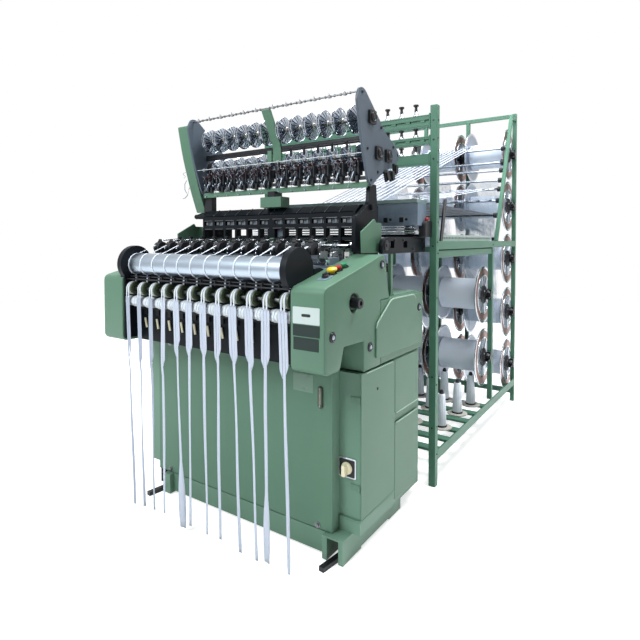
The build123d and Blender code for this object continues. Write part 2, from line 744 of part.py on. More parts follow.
# Weft detectors: one small block with its lever for each weft thread, on a bar over the angle
with BuildPart() as weft_detectors:
    block(inner_left, inner_right, 318, 340, 1520, 1534)
    for x in wheel_x:
        block(x - 16, x + 16, 300, 340, 1534, 1580)
        block(x - 2, x + 2, 296, 300, 1500, 1590)
weft_detectors.part.label = "weft_detectors"
export_step(weft_detectors.part, "parts/weft_detectors.step")

# Warp stop box: the long grey box with a row of slots that watches the warp threads
gate_right = creel_right - post / 2
gate_left = post_x[-1] + post / 2
box_left = loom_centre_x - 460
box_right = side_x - 12
with BuildPart() as warp_stop_box:
    block(box_left, box_right, stop_box_front, stop_box_front + stop_box_depth, stop_box_bottom, stop_box_top)
    block(box_left, box_right, stop_box_front - 6, stop_box_front + stop_box_depth, stop_box_top, stop_box_top + 8)
    for x in head_x:
        block(x - 22, x + 22, stop_box_front, stop_box_front + 8, stop_box_bottom + 12, stop_box_bottom + 56,
              mode=Mode.SUBTRACT)
    for x in (box_left + 60, side_x - 65):
        block(x - 14, x + 14, stop_box_front + 20, stop_box_front + stop_box_depth,
              side_arm_top + 14 + running_gap, stop_box_bottom - running_gap)
    block(loom_left + 35, box_right, stop_box_front + 70, stop_box_front + stop_box_depth,
          side_arm_top, side_arm_top + 14)
warp_stop_box.part.label = "warp_stop_box"
export_step(warp_stop_box.part, "parts/warp_stop_box.step")

# Stop control box: the small black box beside the front creel post with a red stop button
control_y = gate_y - post / 2 - 30
control_x = side_x + 16
control_top = 1345.0
with BuildPart() as stop_control_box:
    block(side_x - 2, side_x + 34, control_y - 30, control_y + 30, side_arm_top, control_top)
    upright_bar(control_x, control_y, control_top - 14, control_top, stem_radius + running_gap, mode=Mode.SUBTRACT)
stop_control_box.part.label = "stop_control_box"
export_step(stop_control_box.part, "parts/stop_control_box.step")

with BuildPart() as stop_control_button:
    upright_bar(control_x, control_y, control_top - 10, control_top + 4, stem_radius)
    upright_bar(control_x, control_y, control_top + 4, control_top + 18, 15)
stop_control_button.part.label = "stop_control_button"
export_step(stop_control_button.part, "parts/stop_control_button.step")

# Creel posts: two tall posts at the gate, a row for the front beams and a tall row at the rear
base_rail_top = base_rail_bottom + base_rail_height
with BuildPart() as creel_posts:
    for x in (post_x[0], post_x[-1]):
        block(x - post / 2, x + post / 2, gate_y - post / 2, gate_y + post / 2, 0, gate_height)
    for x in post_x:
        foot = base_rail_top if x in (post_x[0], post_x[-1]) else 0
        block(x - slim_post / 2, x + slim_post / 2, beam_post_y - slim_post / 2, beam_post_y + slim_post / 2,
              foot, beam_post_top)
        top = rear_height if x in (post_x[0], post_x[-1]) else rear_height - 30
        block(x - rear_post / 2, x + rear_post / 2, rear_y - rear_post / 2, rear_y + rear_post / 2, 0, top)
creel_posts.part.label = "creel_posts"
export_step(creel_posts.part, "parts/creel_posts.step")

# Creel rails: the bars between the posts
gate_rails = ((1817.0, 1880.0), (1732.0, 1772.0), (1629.0, 1684.0))
post_rear = gate_y + post / 2
rear_front = rear_y - rear_post / 2
rail_wall = 5.0
mid_rail_top = beam_post_top + mid_rail_height
slant_low = (1942.0, mid_rail_top + 5)
slant_high = (2338.0, 2190.0)
with BuildPart() as creel_rails:
    for z0, z1 in gate_rails:
        block(gate_left, gate_right, gate_y - 18, gate_y + 14, z0, z1)
        block(gate_left, gate_right, gate_y - 18, gate_y + 8, z0 + 8, z1 - 8, mode=Mode.SUBTRACT)
    block(post_x[-1] + rear_post / 2, post_x[0] - rear_post / 2, rear_y - 12, rear_y + 12,
          rear_height - 30, rear_height - 2)
    for i in range(bays):
        x0, x1 = post_x[i + 1], post_x[i]
        block(x0 + rear_post / 2, x1 - rear_post / 2, rear_y - 12, rear_y + 12, 60, 96)
        block(x0 + slim_post / 2, x1 - slim_post / 2, beam_post_y - 10, beam_post_y + 10, 1166, beam_post_top)
    for x, outward in ((post_x[0], 1), (post_x[-1], -1)):
        edge = x + outward * post / 2
        lip = edge - outward * rail_wall
        inside = edge - outward * 50
        block(min(edge, lip), max(edge, lip), post_rear, rear_front, base_rail_bottom, base_rail_top)
        block(min(lip, inside), max(lip, inside), post_rear, rear_front, base_rail_bottom, base_rail_bottom + rail_wall)
        block(x - 15, x + 15, post_rear, rear_front, beam_post_top, mid_rail_top)
        block(x - 10, x + 10, post_rear, beam_post_y - slim_post / 2, 1160, 1196)
        sloping_bar(x - 12, x + 12, slant_low, slant_high, 24)
        block(x - 12, x + 12, slant_high[0] + 11.4, rear_front, slant_high[1] - 30, slant_high[1])
creel_rails.part.label = "creel_rails"
export_step(creel_rails.part, "parts/creel_rails.step")

# Creel slats: six flat bars across the floor of the creel
slat_rows = (900.0, 1060.0, 1220.0, 1400.0, 1560.0, 1740.0)
slat_top = base_rail_bottom + 20
with BuildPart() as creel_slats:
    for y in slat_rows:
        block(post_x[-1] - post / 2 + rail_wall + running_gap, post_x[0] + post / 2 - rail_wall - running_gap,
              y - 30, y + 30, base_rail_bottom + rail_wall, slat_top)
creel_slats.part.label = "creel_slats"
export_step(creel_slats.part, "parts/creel_slats.step")

# Tension knobs: a black knob on a bright cone for each thread, in three rows on the gate rails
knob_pitch = 80.0
knob_x = [(gate_left + gate_right) / 2 + (i - (heads - 1) / 2) * knob_pitch for i in range(heads)]
knob_heights = (60.0, 43.0, 43.0)
with BuildPart() as tension_knobs:
    for (_, rail_top), height in zip(gate_rails, knob_heights):
        for x in knob_x:
            with Locations((x, back(gate_y - 4), rail_top + 10)):
                Cone(17, 8, 20)
            with Locations((x, back(gate_y - 4), rail_top + height / 2 + 5)):
                Cylinder(8, height - 30)
            with Locations((x, back(gate_y - 4), rail_top + height - 5)):
                Cylinder(13, 10)
tension_knobs.part.label = "tension_knobs"
export_step(tension_knobs.part, "parts/tension_knobs.step")

# Warp guide rods: seven rods down the slope of the creel and three over the mid rails
guide_rows = ((2188, 1922), (2181, 1820), (2147, 1758), (2117, 1683), (2097, 1618), (2065, 1533), (2003, 1425))
comb_strip = (900.0, 1825.0)
guide_rod = 9.0
guide_left = post_x[-1] + 36
guide_right = post_x[0] - 36
with BuildPart() as warp_guide_rods:
    for y, z in guide_rows:
        round_bar(guide_left, guide_right, y, z, guide_rod)
    for x in (post_x[-1] + 8, post_x[0] - 12):
        block(x, x + 4, *comb_strip, mid_rail_top, mid_rail_top + 33)
warp_guide_rods.part.label = "warp_guide_rods"
export_step(warp_guide_rods.part, "parts/warp_guide_rods.step")

def slant_at(z):
    """Distance behind the front of the slanted bar's middle line at a height."""
    share = (z - slant_low[1]) / (slant_high[1] - slant_low[1])
    return slant_low[0] + share * (slant_high[0] - slant_low[0])


# Creel brackets: black blocks that hold the rods, and the open bearings of the warp beams
with BuildPart() as creel_brackets:
    for x0, x1 in ((post_x[-1] + 12, guide_left), (guide_right, post_x[0] - 12)):
        for y, z in guide_rows:
            round_bar(x0, x1, y, z, 17)
            block(x0, x1, min(y, slant_at(z)) - 4, max(y, slant_at(z)) + 4, z - 8, z + 8)
    for x0 in (post_x[-1] - 8, post_x[0]):
        sloping_bar(x0, x0 + 8, (872, mid_rail_top + 3.2), (930, 1458), 22)
    for x in post_x:
        for z in front_beam_levels:
            block(x - 14, x + 14, front_shaft_y + shaft_radius + running_gap, beam_post_y - slim_post / 2, z - 24, z + 24)
        for z in rear_beam_levels:
            block(x - 14, x + 14, rear_shaft_y + shaft_radius + running_gap, rear_y - rear_post / 2, z - 24, z + 24)
creel_brackets.part.label = "creel_brackets"
export_step(creel_brackets.part, "parts/creel_brackets.step")

# Warp beams: rows of three flanged beams, each row on one shaft that turns in its brackets
beam_rows = [("front_beams_" + name, front_shaft_y, z) for name, z in zip(("1", "2"), front_beam_levels)]
beam_rows += [("rear_beams_" + name, rear_shaft_y, z) for name, z in zip("12345", rear_beam_levels)]
for row_name, shaft_place, level in beam_rows:
    with BuildPart() as beam_row:
        round_bar(post_x[-1] - 25, post_x[0] + 25, shaft_place, level, shaft_radius)
        for x in bay_x:
            round_bar(x - beam_length / 2, x + beam_length / 2, shaft_place, level, yarn_radius)
            for x0 in (x - beam_length / 2, x + beam_length / 2 - beam_flange_thickness):
                round_bar(x0, x0 + beam_flange_thickness, shaft_place, level, beam_flange_radius)
    beam_row.part.label = row_name
    export_step(beam_row.part, "parts/" + row_name + ".step")

# Yarn cones: the rubber and weft packages that stand on the slats, each on its own disc
cone_rows = ((1200.0, 0.0), (1480.0, 0.0), (1700.0, 15.0))
cone_x = [creel_right - 110 - i * 180 for i in range(6)]
with BuildPart() as yarn_cones:
    for row_x in cone_x:
        for y, shift in cone_rows:
            x = row_x + shift
            with Locations((x, back(y), slat_top + 4)):
                Cylinder(62, 8)
            with Locations((x, back(y), slat_top + 8 + 95)):
                Cone(30, 22, 190)
            with Locations((x, back(y), slat_top + 198 + 12)):
                Cylinder(14, 24)
yarn_cones.part.label = "yarn_cones"
export_step(yarn_cones.part, "parts/yarn_cones.step")

# Warp yarns: the flat bands of threads from the guide rods down to the warp stop box
yarn_end = (stop_box_front + stop_box_depth - 30, stop_box_top + 8.9)
band_pitch = 84.0
band_x = [(gate_left + gate_right) / 2 + (i - (heads - 1) / 2) * band_pitch for i in range(heads)]
with BuildPart() as warp_yarns:
    for x in band_x:
        sloping_bar(x - 16, x + 16, yarn_end, (2003, 1425 + guide_rod + 2), 1.5)
warp_yarns.part.label = "warp_yarns"
export_step(warp_yarns.part, "parts/warp_yarns.step")
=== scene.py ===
import json
import math
import random

import bmesh
import bpy
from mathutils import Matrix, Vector


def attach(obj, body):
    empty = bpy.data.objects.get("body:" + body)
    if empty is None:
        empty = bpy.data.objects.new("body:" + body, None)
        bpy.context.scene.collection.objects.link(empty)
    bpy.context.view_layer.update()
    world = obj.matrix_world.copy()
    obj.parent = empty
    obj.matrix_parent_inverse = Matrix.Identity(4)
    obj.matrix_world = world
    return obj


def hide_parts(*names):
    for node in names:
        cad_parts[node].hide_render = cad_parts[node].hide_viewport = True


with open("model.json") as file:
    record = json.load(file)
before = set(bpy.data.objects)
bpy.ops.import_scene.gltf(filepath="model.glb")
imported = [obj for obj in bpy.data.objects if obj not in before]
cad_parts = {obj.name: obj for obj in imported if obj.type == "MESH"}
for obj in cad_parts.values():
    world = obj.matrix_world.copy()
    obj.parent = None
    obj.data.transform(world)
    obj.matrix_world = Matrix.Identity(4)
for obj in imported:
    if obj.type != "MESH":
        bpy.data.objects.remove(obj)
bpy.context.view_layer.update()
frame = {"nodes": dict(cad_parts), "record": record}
rng = random.Random(7)

# Places are in millimetres: x as in the CAD model, depth behind the front face, height above the floor
MM = 0.001
FRONT = -1187.5
CENTRE = -15.0
HEADS = 12
HEAD_PITCH = 83.0
HEAD_X = [CENTRE + (i - 5.5) * HEAD_PITCH for i in range(HEADS)]
ARM_LEFT = -509.0
ARM_RIGHT = 479.0
INNER_LEFT = ARM_LEFT + 0.5
INNER_RIGHT = ARM_RIGHT - 0.5
LOOM_LEFT = -655.0
LOOM_RIGHT = 625.0
SIDE = 590.0
CASING_TOP = 1005
ACROSS = (1, 0, 0)
AHEAD = (0, -1, 0)
UPWARD = (0, 0, 1)


def spot(x, depth, z):
    """A place in the model's frame, in metres."""
    return Vector((x * MM, (depth + FRONT) * MM, z * MM))


# Materials: each look has the slot of the finish it stands for, which is its own name by default
LOOKS = {}


def new_material(name):
    m = bpy.data.materials.new(name)
    m.use_nodes = True
    LOOKS[name] = m
    return m, m.node_tree, m.node_tree.nodes["Principled BSDF"]


def give(n, inputs):
    """Set a node's inputs by name or number; an output socket is linked to the input instead."""
    for key, value in inputs.items():
        if isinstance(value, bpy.types.NodeSocket):
            n.id_data.links.new(value, n.inputs[key])
        else:
            n.inputs[key].default_value = value


def node(tree, kind, inputs, **settings):
    n = tree.nodes.new(kind)
    for key, value in settings.items():
        setattr(n, key, value)
    give(n, inputs)
    return n


def place(tree):
    return node(tree, "ShaderNodeTexCoord", {}).outputs["Object"]


def noise(tree, where, scale, detail, **more):
    inputs = {"Vector": where, "Scale": scale, "Detail": detail, **more}
    return node(tree, "ShaderNodeTexNoise", inputs).outputs["Fac"]


def wave(tree, where, direction, inputs):
    made = node(tree, "ShaderNodeTexWave", {"Vector": where, **inputs}, bands_direction=direction)
    return made.outputs["Fac"]


def calc(tree, operation, *values):
    return node(tree, "ShaderNodeMath", dict(enumerate(values)), operation=operation).outputs[0]


def span(tree, value, low, high, start=0.0, end=1.0):
    """Value from start to end brought to low to high."""
    inputs = {"Value": value, "From Min": start, "From Max": end, "To Min": low, "To Max": high}
    return node(tree, "ShaderNodeMapRange", inputs).outputs["Result"]


def ramp(tree, value, low, high, start, end):
    n = node(tree, "ShaderNodeValToRGB", {"Fac": value})
    for element, position, colour in zip(n.color_ramp.elements, (start, end), (low, high)):
        element.position = position
        element.color = [*colour, 1]
    return n.outputs["Color"]


def varied_colour(tree, where, colour, spread, scale):
    """Colour that drifts a little over the surface."""
    low = [c * (1 - spread) for c in colour]
    high = [min(1, c * (1 + spread)) for c in colour]
    return ramp(tree, noise(tree, where, scale, 6.0, Roughness=0.6), low, high, 0.3, 0.7)


def bumped(tree, height, strength, distance):
    inputs = {"Height": height, "Strength": strength, "Distance": distance}
    return node(tree, "ShaderNodeBump", inputs).outputs["Normal"]


def solid(name, colour, rough, metal=0.0, spread=0.05, scale=6.0, grain=900.0, coat=0.0,
          edge_tint=None, gloss=0.3):
    """Painted, moulded or cast surface: slight colour drift, grain and uneven gloss."""
    m, tree, shader = new_material(name)
    where = place(tree)
    base = varied_colour(tree, where, colour, spread, scale)
    # Convex edges, found by pointiness, take the lighter edge colour
    if edge_tint:
        edge = node(tree, "ShaderNodeNewGeometry", {}).outputs["Pointiness"]
        share = span(tree, edge, 0, 0.5, 0.53, 0.62)
        base = node(tree, "ShaderNodeMix", {0: share, 6: base, 7: [*edge_tint, 1]}, data_type="RGBA").outputs[2]
    clouds = noise(tree, where, scale * 3, 4.0)
    give(shader, {
        "Metallic": metal, "Coat Weight": coat, "Specular IOR Level": gloss, "Base Color": base,
        "Roughness": span(tree, clouds, max(0.02, rough - 0.07), min(1, rough + 0.07)),
        "Normal": bumped(tree, noise(tree, where, grain, 2.0), 0.25, 0.00008)})
    return m


def brushed(name, colour, rough, lines=(1.0, 1.0, 1.0), metal=1.0, spread=0.06, bump=0.0002):
    """Metal with fine lines across the axis whose factor is largest."""
    m, tree, shader = new_material(name)
    where = place(tree)
    stretched = node(tree, "ShaderNodeMapping", {"Vector": where, "Scale": lines}).outputs["Vector"]
    fine = noise(tree, stretched, 40.0, 5.0)
    give(shader, {
        "Metallic": metal, "Base Color": varied_colour(tree, where, colour, spread, 9.0),
        "Roughness": span(tree, fine, max(0.03, rough - 0.08), rough + 0.1),
        "Normal": bumped(tree, fine, 0.12, bump)})
    return m


def threads(name, colour, dark, lines, cross, rough=0.75, contrast=1.0):
    """Yarn or weave: fine bands across X, and others along Z."""
    m, tree, shader = new_material(name)
    where = place(tree)
    along = wave(tree, where, "X", {"Scale": lines, "Distortion": 0.6, "Detail": 2.0, "Detail Scale": 2.0})
    over = wave(tree, where, "Z", {"Scale": cross, "Distortion": 0.3})
    blend = calc(tree, "MULTIPLY_ADD", along, 0.7, calc(tree, "MULTIPLY", over, 0.3))
    give(shader, {
        "Roughness": rough, "Sheen Weight": 0.3,
        "Base Color": ramp(tree, blend, dark, colour, 0.0, 0.6 * contrast),
        "Normal": bumped(tree, blend, 0.5, 0.0006)})
    return m


def curtain(name, colour, lines, cover):
    """Loose single threads with gaps between them."""
    m, tree, shader = new_material(name)
    where = place(tree)
    stripes = wave(tree, where, "X", {
        "Scale": lines, "Distortion": 1.2, "Detail": 3.0, "Detail Scale": 0.6})
    mixed = calc(tree, "MULTIPLY_ADD", noise(tree, where, 9.0, 2.0), 0.5, stripes)
    give(shader, {
        "Base Color": [*colour, 1], "Roughness": 0.7,
        "Alpha": span(tree, mixed, 0, 1, 1.25 - cover, 1.35 - cover)})
    return m


PAINT = solid("sage_paint", (0.09, 0.18, 0.12), 0.4, spread=0.04, scale=2.5, grain=700, gloss=0.2,
              edge_tint=(0.2, 0.32, 0.25))
# Lighter sage paint: a painted highlight on the cover ridges and the door's top edge
PAINT_HIGHLIGHT = solid("highlight_paint", (0.3, 0.44, 0.34), 0.35, spread=0.06, scale=8.0, grain=700)
CREEL_PAINT = solid("creel_paint", (0.068, 0.18, 0.12), 0.42, spread=0.06, scale=4.0, grain=700, gloss=0.2,
                    edge_tint=(0.16, 0.28, 0.21))
GREY = solid("grey_paint", (0.16, 0.2, 0.24), 0.45, spread=0.06, grain=800)
STOP_GREY = solid("stop_grey", (0.17, 0.22, 0.28), 0.4, spread=0.14, scale=22, grain=800)
CHEEK_GREY = solid("cheek_grey", (0.055, 0.075, 0.1), 0.42, grain=800, edge_tint=(0.35, 0.4, 0.46))
INSET = solid("inset_grey", (0.1, 0.13, 0.16), 0.35, spread=0.2, scale=30, coat=0.2)
LID = solid("lid_paint", (0.2, 0.28, 0.27), 0.4, spread=0.06)
BLACK = solid("black_paint", (0.006, 0.008, 0.011), 0.4, spread=0.2, gloss=0.12)
BLACK_STEEL = solid("black_steel", (0.02, 0.021, 0.024), 0.33, metal=0.4, spread=0.2)
BLACK_PLASTIC = solid("black_plastic", (0.014, 0.014, 0.016), 0.42, spread=0.2, grain=1500)
solid("black_rubber", (0.016, 0.016, 0.017), 0.72, spread=0.25, grain=1800)
OLIVE_BLACK = solid("olive_black", (0.045, 0.055, 0.035), 0.4, spread=0.15)
SIGHT_GLASS = solid("sight_oil", (0.09, 0.1, 0.055), 0.12, spread=0.3, scale=60, coat=1.0)
DETECTOR = solid("detector_plastic", (0.02, 0.024, 0.03), 0.45, spread=0.4, scale=60)
LABEL_LIGHT = solid("label_light", (0.5, 0.57, 0.55), 0.3, spread=0.03, grain=2000)
LABEL_DARK = solid("label_dark", (0.022, 0.035, 0.032), 0.4, spread=0.1, grain=2000,
                   gloss=0.15)
LABEL_BLUE = solid("label_blue", (0.16, 0.22, 0.27), 0.32, grain=2000)
LABEL_SAGE = solid("label_sage", (0.15, 0.25, 0.185), 0.3, spread=0.03, grain=2000)
MAROON = solid("maroon_plastic", (0.05, 0.017, 0.022), 0.38, spread=0.3, scale=30)
BEAD = solid("bead_plastic", (0.36, 0.36, 0.37), 0.35, spread=0.1, scale=30)
DISC = solid("disc_board", (0.52, 0.5, 0.45), 0.6, spread=0.08, scale=12)
COMB = solid("comb_strip", (0.38, 0.47, 0.44), 0.4, spread=0.1, scale=14)
CREAM = solid("cream_plastic", (0.72, 0.66, 0.46), 0.35)
TYRE = solid("tyre_plastic", (0.42, 0.44, 0.36), 0.4, spread=0.08, scale=14)
# Olive plastic darkened as painted shade of the pulleys' side faces
SHADED_OLIVE = solid("olive_plastic", (0.05, 0.068, 0.04), 0.35, spread=0.12)
WHITE_PLASTIC = solid("white_plastic", (0.62, 0.66, 0.7), 0.33, coat=0.3)
GREEN_PLASTIC = solid("green_plastic", (0.02, 0.24, 0.1), 0.3, coat=0.4)
RED_PLASTIC = solid("red_plastic", (0.42, 0.015, 0.02), 0.3, coat=0.4)
YELLOW_PLASTIC = solid("yellow_plastic", (0.78, 0.5, 0.01), 0.3, coat=0.4)
CHROME = brushed("bright_steel", (0.55, 0.58, 0.62), 0.16, lines=(0.2, 6.0, 6.0))
WHEEL_STEEL = brushed("wheel_steel", (0.42, 0.46, 0.52), 0.2, lines=(6.0, 6.0, 6.0))
HUB_METAL = brushed("hub_metal", (0.36, 0.34, 0.27), 0.3, spread=0.15)
ROLLER_STEEL = brushed("roller_steel", (0.36, 0.42, 0.49), 0.3, lines=(0.3, 9.0, 9.0),
                       spread=0.05, bump=0.00003)
ROD_STEEL = brushed("rod_steel", (0.3, 0.33, 0.37), 0.22, lines=(0.2, 5.0, 5.0))
DARK_STEEL = brushed("dark_steel", (0.17, 0.18, 0.19), 0.32, lines=(1.0, 4.0, 4.0))
ALUMINIUM = brushed("brushed_aluminium", (0.6, 0.63, 0.67), 0.34, lines=(0.4, 5.0, 5.0))
COPPER = brushed("rim_copper", (0.24, 0.12, 0.1), 0.3, lines=(8.0, 1.0, 1.0),
                 metal=0.95, spread=0.25)
FLANGE_GREY = brushed("flange_grey", (0.3, 0.34, 0.4), 0.36, lines=(1.0, 4.0, 4.0),
                      metal=0.9)
TAPE = threads("white_tape", (0.78, 0.82, 0.9), (0.42, 0.47, 0.58), 210.0, 260.0, rough=0.7)
# Darker copies of the white tape: painted shade for the hanging bands, deepest for the first three; the
# lighter of the two also colours the pale rising strips
TAPE_HALF_SHADE = threads("half_shaded_tape", (0.57, 0.61, 0.71), (0.35, 0.39, 0.49), 160.0, 260.0)
TAPE_SHADED = threads("shaded_tape", (0.4, 0.44, 0.54), (0.24, 0.27, 0.35), 160.0, 260.0)
BEAM_YARN = threads("white_yarn", (0.84, 0.9, 1.0), (0.68, 0.75, 0.88), 120.0, 3.0, rough=0.62,
                    contrast=0.8)
CONE_YARN = threads("cone_yarn", (0.88, 0.93, 1.0), (0.72, 0.78, 0.88), 30.0, 160.0,
                    rough=0.7)
# Dark yarn colour used as painted shade: strips between the warp bands and between the rising strips
PAINTED_SHADE_YARN = threads("painted_shade_yarn", (0.1, 0.12, 0.17), (0.05, 0.06, 0.09), 150.0, 60.0,
                     rough=0.7)
SINGLE_THREAD = solid("single_thread", (0.6, 0.68, 0.78), 0.6, spread=0.1)
THREADS = curtain("loose_threads", (0.55, 0.66, 0.78), 48.0, 0.3)

for part in frame["record"]["subparts"]:
    data = frame["nodes"][part["node"]].data
    data.materials.clear()
    data.materials.append(LOOKS[part["material_slot"]])


# Forms


def rounded(outline, radius, steps=4):
    """The same outline with its corners rounded; radius is one number or one for each corner."""
    out = []
    count = len(outline)
    for i, corner in enumerate(outline):
        r = radius[i] if isinstance(radius, (list, tuple)) else radius
        c = Vector(corner)
        before = Vector(outline[i - 1]) - c
        after = Vector(outline[(i + 1) % count]) - c
        reach = min(r, before.length * 0.45, after.length * 0.45)
        if reach < 0.5:
            out.append(tuple(c))
            continue
        a = c + before.normalized() * reach
        b = c + after.normalized() * reach
        for k in range(steps + 1):
            t = k / steps
            p = a * (1 - t) ** 2 + c * 2 * t * (1 - t) + b * t ** 2
            out.append((p.x, p.y))
    return out


def rect(a0, a1, b0, b1, radius):
    """Rectangle with rounded corners, a0 to a1 by b0 to b1."""
    return rounded([(a0, b0), (a1, b0), (a1, b1), (a0, b1)], radius)


class Form:
    """One piece built up from simple turned and flat shapes, all in millimetres."""

    def __init__(self):
        self.bm = bmesh.new()

    def skin(self, rings, ends=True, loop=False):
        """Skin over rings of points, each with the same count."""
        rows = [[self.bm.verts.new(p) for p in ring] for ring in rings]
        pairs = list(zip(rows, rows[1:]))
        if loop:
            pairs.append((rows[-1], rows[0]))
        for a, b in pairs:
            n = len(a)
            for i in range(n):
                self.bm.faces.new((a[i], a[(i + 1) % n], b[(i + 1) % n], b[i]))
        if ends and not loop:
            self.bm.faces.new(rows[0][::-1])
            self.bm.faces.new(rows[-1])
        return self

    def box(self, x0, x1, d0, d1, z0, z1):
        ring = [(x0, d0), (x1, d0), (x1, d1), (x0, d1)]
        return self.skin([[spot(x, d, z) for x, d in ring] for z in (z0, z1)])

    def plate(self, x0, x1, outline):
        """Plate between two X planes with a (depth, height) outline."""
        return self.skin([[spot(x, d, z) for d, z in outline] for x in (x0, x1)])

    def front_plate(self, d0, d1, outline):
        """Plate between two depths with an (x, height) outline."""
        return self.skin([[spot(x, d, z) for x, z in outline] for d in (d1, d0)])

    def turn(self, start, axis, profile, sides=32, loop=False):
        """Turned shape: (distance along the axis, radius) pairs from the start point."""
        axis = Vector(axis).normalized()
        side = axis.orthogonal().normalized()
        other = axis.cross(side)
        origin = spot(*start)
        rings = []
        for along, radius in profile:
            ring = []
            for i in range(sides):
                a = 2 * math.pi * i / sides
                offset = (side * math.cos(a) + other * math.sin(a)) * radius + axis * along
                ring.append(origin + offset * MM)
            rings.append(ring)
        return self.skin(rings, loop=loop)

    def rod(self, p, q, radius, sides=14):
        """Round bar between two places."""
        along = Vector(q) - Vector(p)
        return self.turn(p, along, [(0, radius), (along.length, radius)], sides)

    def wire(self, points, radius, sides=8):
        """Round wire through several places."""
        places = [spot(*p) for p in points]
        rings = []
        for i, c in enumerate(places):
            along = (places[min(i + 1, len(places) - 1)] - places[max(i - 1, 0)]).normalized()
            side = along.cross(Vector((0.31, 0.17, 0.93))).normalized()
            other = along.cross(side)
            turns = [2 * math.pi * k / sides for k in range(sides)]
            rings.append([c + (side * math.cos(a) + other * math.sin(a)) * radius * MM for a in turns])
        return self.skin(rings)

    def bar(self, p, q, width, depth, up=UPWARD):
        """Rectangular bar between two places."""
        a, b = spot(*p), spot(*q)
        along = (b - a).normalized()
        side = along.cross(Vector(up)).normalized() * width * MM / 2
        top = side.cross(along).normalized() * depth * MM / 2
        return self.skin([[c + side + top, c - side + top, c - side - top, c + side - top] for c in (a, b)])

    def screw(self, place, axis, radius=6.0, height=4.0):
        """Low hexagon head with a round washer."""
        self.turn(place, axis, [(0, radius * 1.35), (1.2, radius * 1.35)], 20)
        return self.turn(place, axis, [(1.2, radius), (height, radius), (height + 0.8, radius * 0.8)], 6)

    def mesh(self, name):
        bmesh.ops.recalc_face_normals(self.bm, faces=self.bm.faces)
        data = bpy.data.meshes.new(name)
        self.bm.to_mesh(data)
        self.bm.free()
        return data

    def done(self, name, look, body="loom", replaces=None, slot=None, bevel=0.0, segments=2, sharp=32.0,
             cut=None):
        """The finished piece on its body, with its edges rounded and the cut form taken out of it."""
        made = bpy.data.objects.new(name, self.mesh(name))
        bpy.context.scene.collection.objects.link(made)
        if bevel:
            rounding = made.modifiers.new("rounding", "BEVEL")
            rounding.width = bevel * MM
            rounding.segments = segments
            rounding.limit_method = "ANGLE"
            rounding.angle_limit = math.radians(28)
            rounding.harden_normals = not cut
        if cut:
            cutter = bpy.data.objects.new(name + "_cutter", cut.mesh(name + "_cutter"))
            bpy.context.scene.collection.objects.link(cutter)
            hole = made.modifiers.new("hole", "BOOLEAN")
            hole.object = cutter
            hole.solver = "EXACT"
            bpy.context.view_layer.update()
            shaped = made.evaluated_get(bpy.context.evaluated_depsgraph_get())
            data = bpy.data.meshes.new_from_object(shaped)
            made.modifiers.clear()
            made.data = data
            bpy.data.objects.remove(cutter)
        data = made.data
        data.materials.clear()
        data.materials.append(look)
        for p in data.polygons:
            p.use_smooth = True
        data.set_sharp_from_angle(angle=math.radians(sharp))
        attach(made, body)
        if replaces:
            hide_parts(replaces)
        return made


# Arms: rounded side housings; the right one has the hole of the hand shaft
ARM_OUTLINE = [
    (-205, 800), (-205, 1058), (-203, 1071), (-196, 1081), (-184, 1087), (226, 1189), (238, 1191),
    (250, 1186), (263, 1160), (281, 1065), (296, CASING_TOP), (215, CASING_TOP), (215, 736),
]
ARM_NOTCH = [(76, 736), (76, 857), (-73, 860), (-96, 792), (-101, 783), (-110, 778), (-184, 778), (-197, 784)]
HAND = (2, 1014)
hole = Form().turn((LOOM_RIGHT - 30, *HAND), ACROSS, [(0, 36), (26, 36), (31, 41), (60, 41)], 64)
Form().plate(ARM_RIGHT, LOOM_RIGHT, ARM_OUTLINE + ARM_NOTCH).done(
    "right_arm_shell", PAINT, bevel=13, segments=4, replaces="right_arm", cut=hole)
Form().plate(LOOM_LEFT, ARM_LEFT, ARM_OUTLINE[:-1] + [(215, 775), (-60, 775), (-184, 778), (-197, 784)]).done(
    "left_arm_shell", PAINT, bevel=13, segments=4, replaces="left_arm")
Form().turn((LOOM_RIGHT - 34, *HAND), ACROSS, [
    (0, 14), (10, 14), (10, 27), (13, 29), (22, 29), (25, 26), (25, 20), (54, 20), (56, 21.5), (60, 21.5),
    (62, 19), (62, 9), (50, 8), (50, 1)], 40).done(
    "hand_shaft_stub", BLACK_STEEL, "hand_shaft", "hand_shaft")
ARM_FACE = -205
Form().front_plate(ARM_FACE - 1.2, ARM_FACE, rect(491, 607, 955, 1015, 4)).done(
    "arm_plate_light", LABEL_LIGHT)
bands = Form()
bands.front_plate(ARM_FACE - 1.2, ARM_FACE, rect(492, 607, 911, 952, 2))
bands.front_plate(ARM_FACE - 1.2, ARM_FACE, rect(494, 603, 862, 907, 2))
bands.front_plate(ARM_FACE - 2, ARM_FACE - 1.2, rect(530, 568, 981, 991, 4))
bands.done("arm_plate_dark", LABEL_DARK)

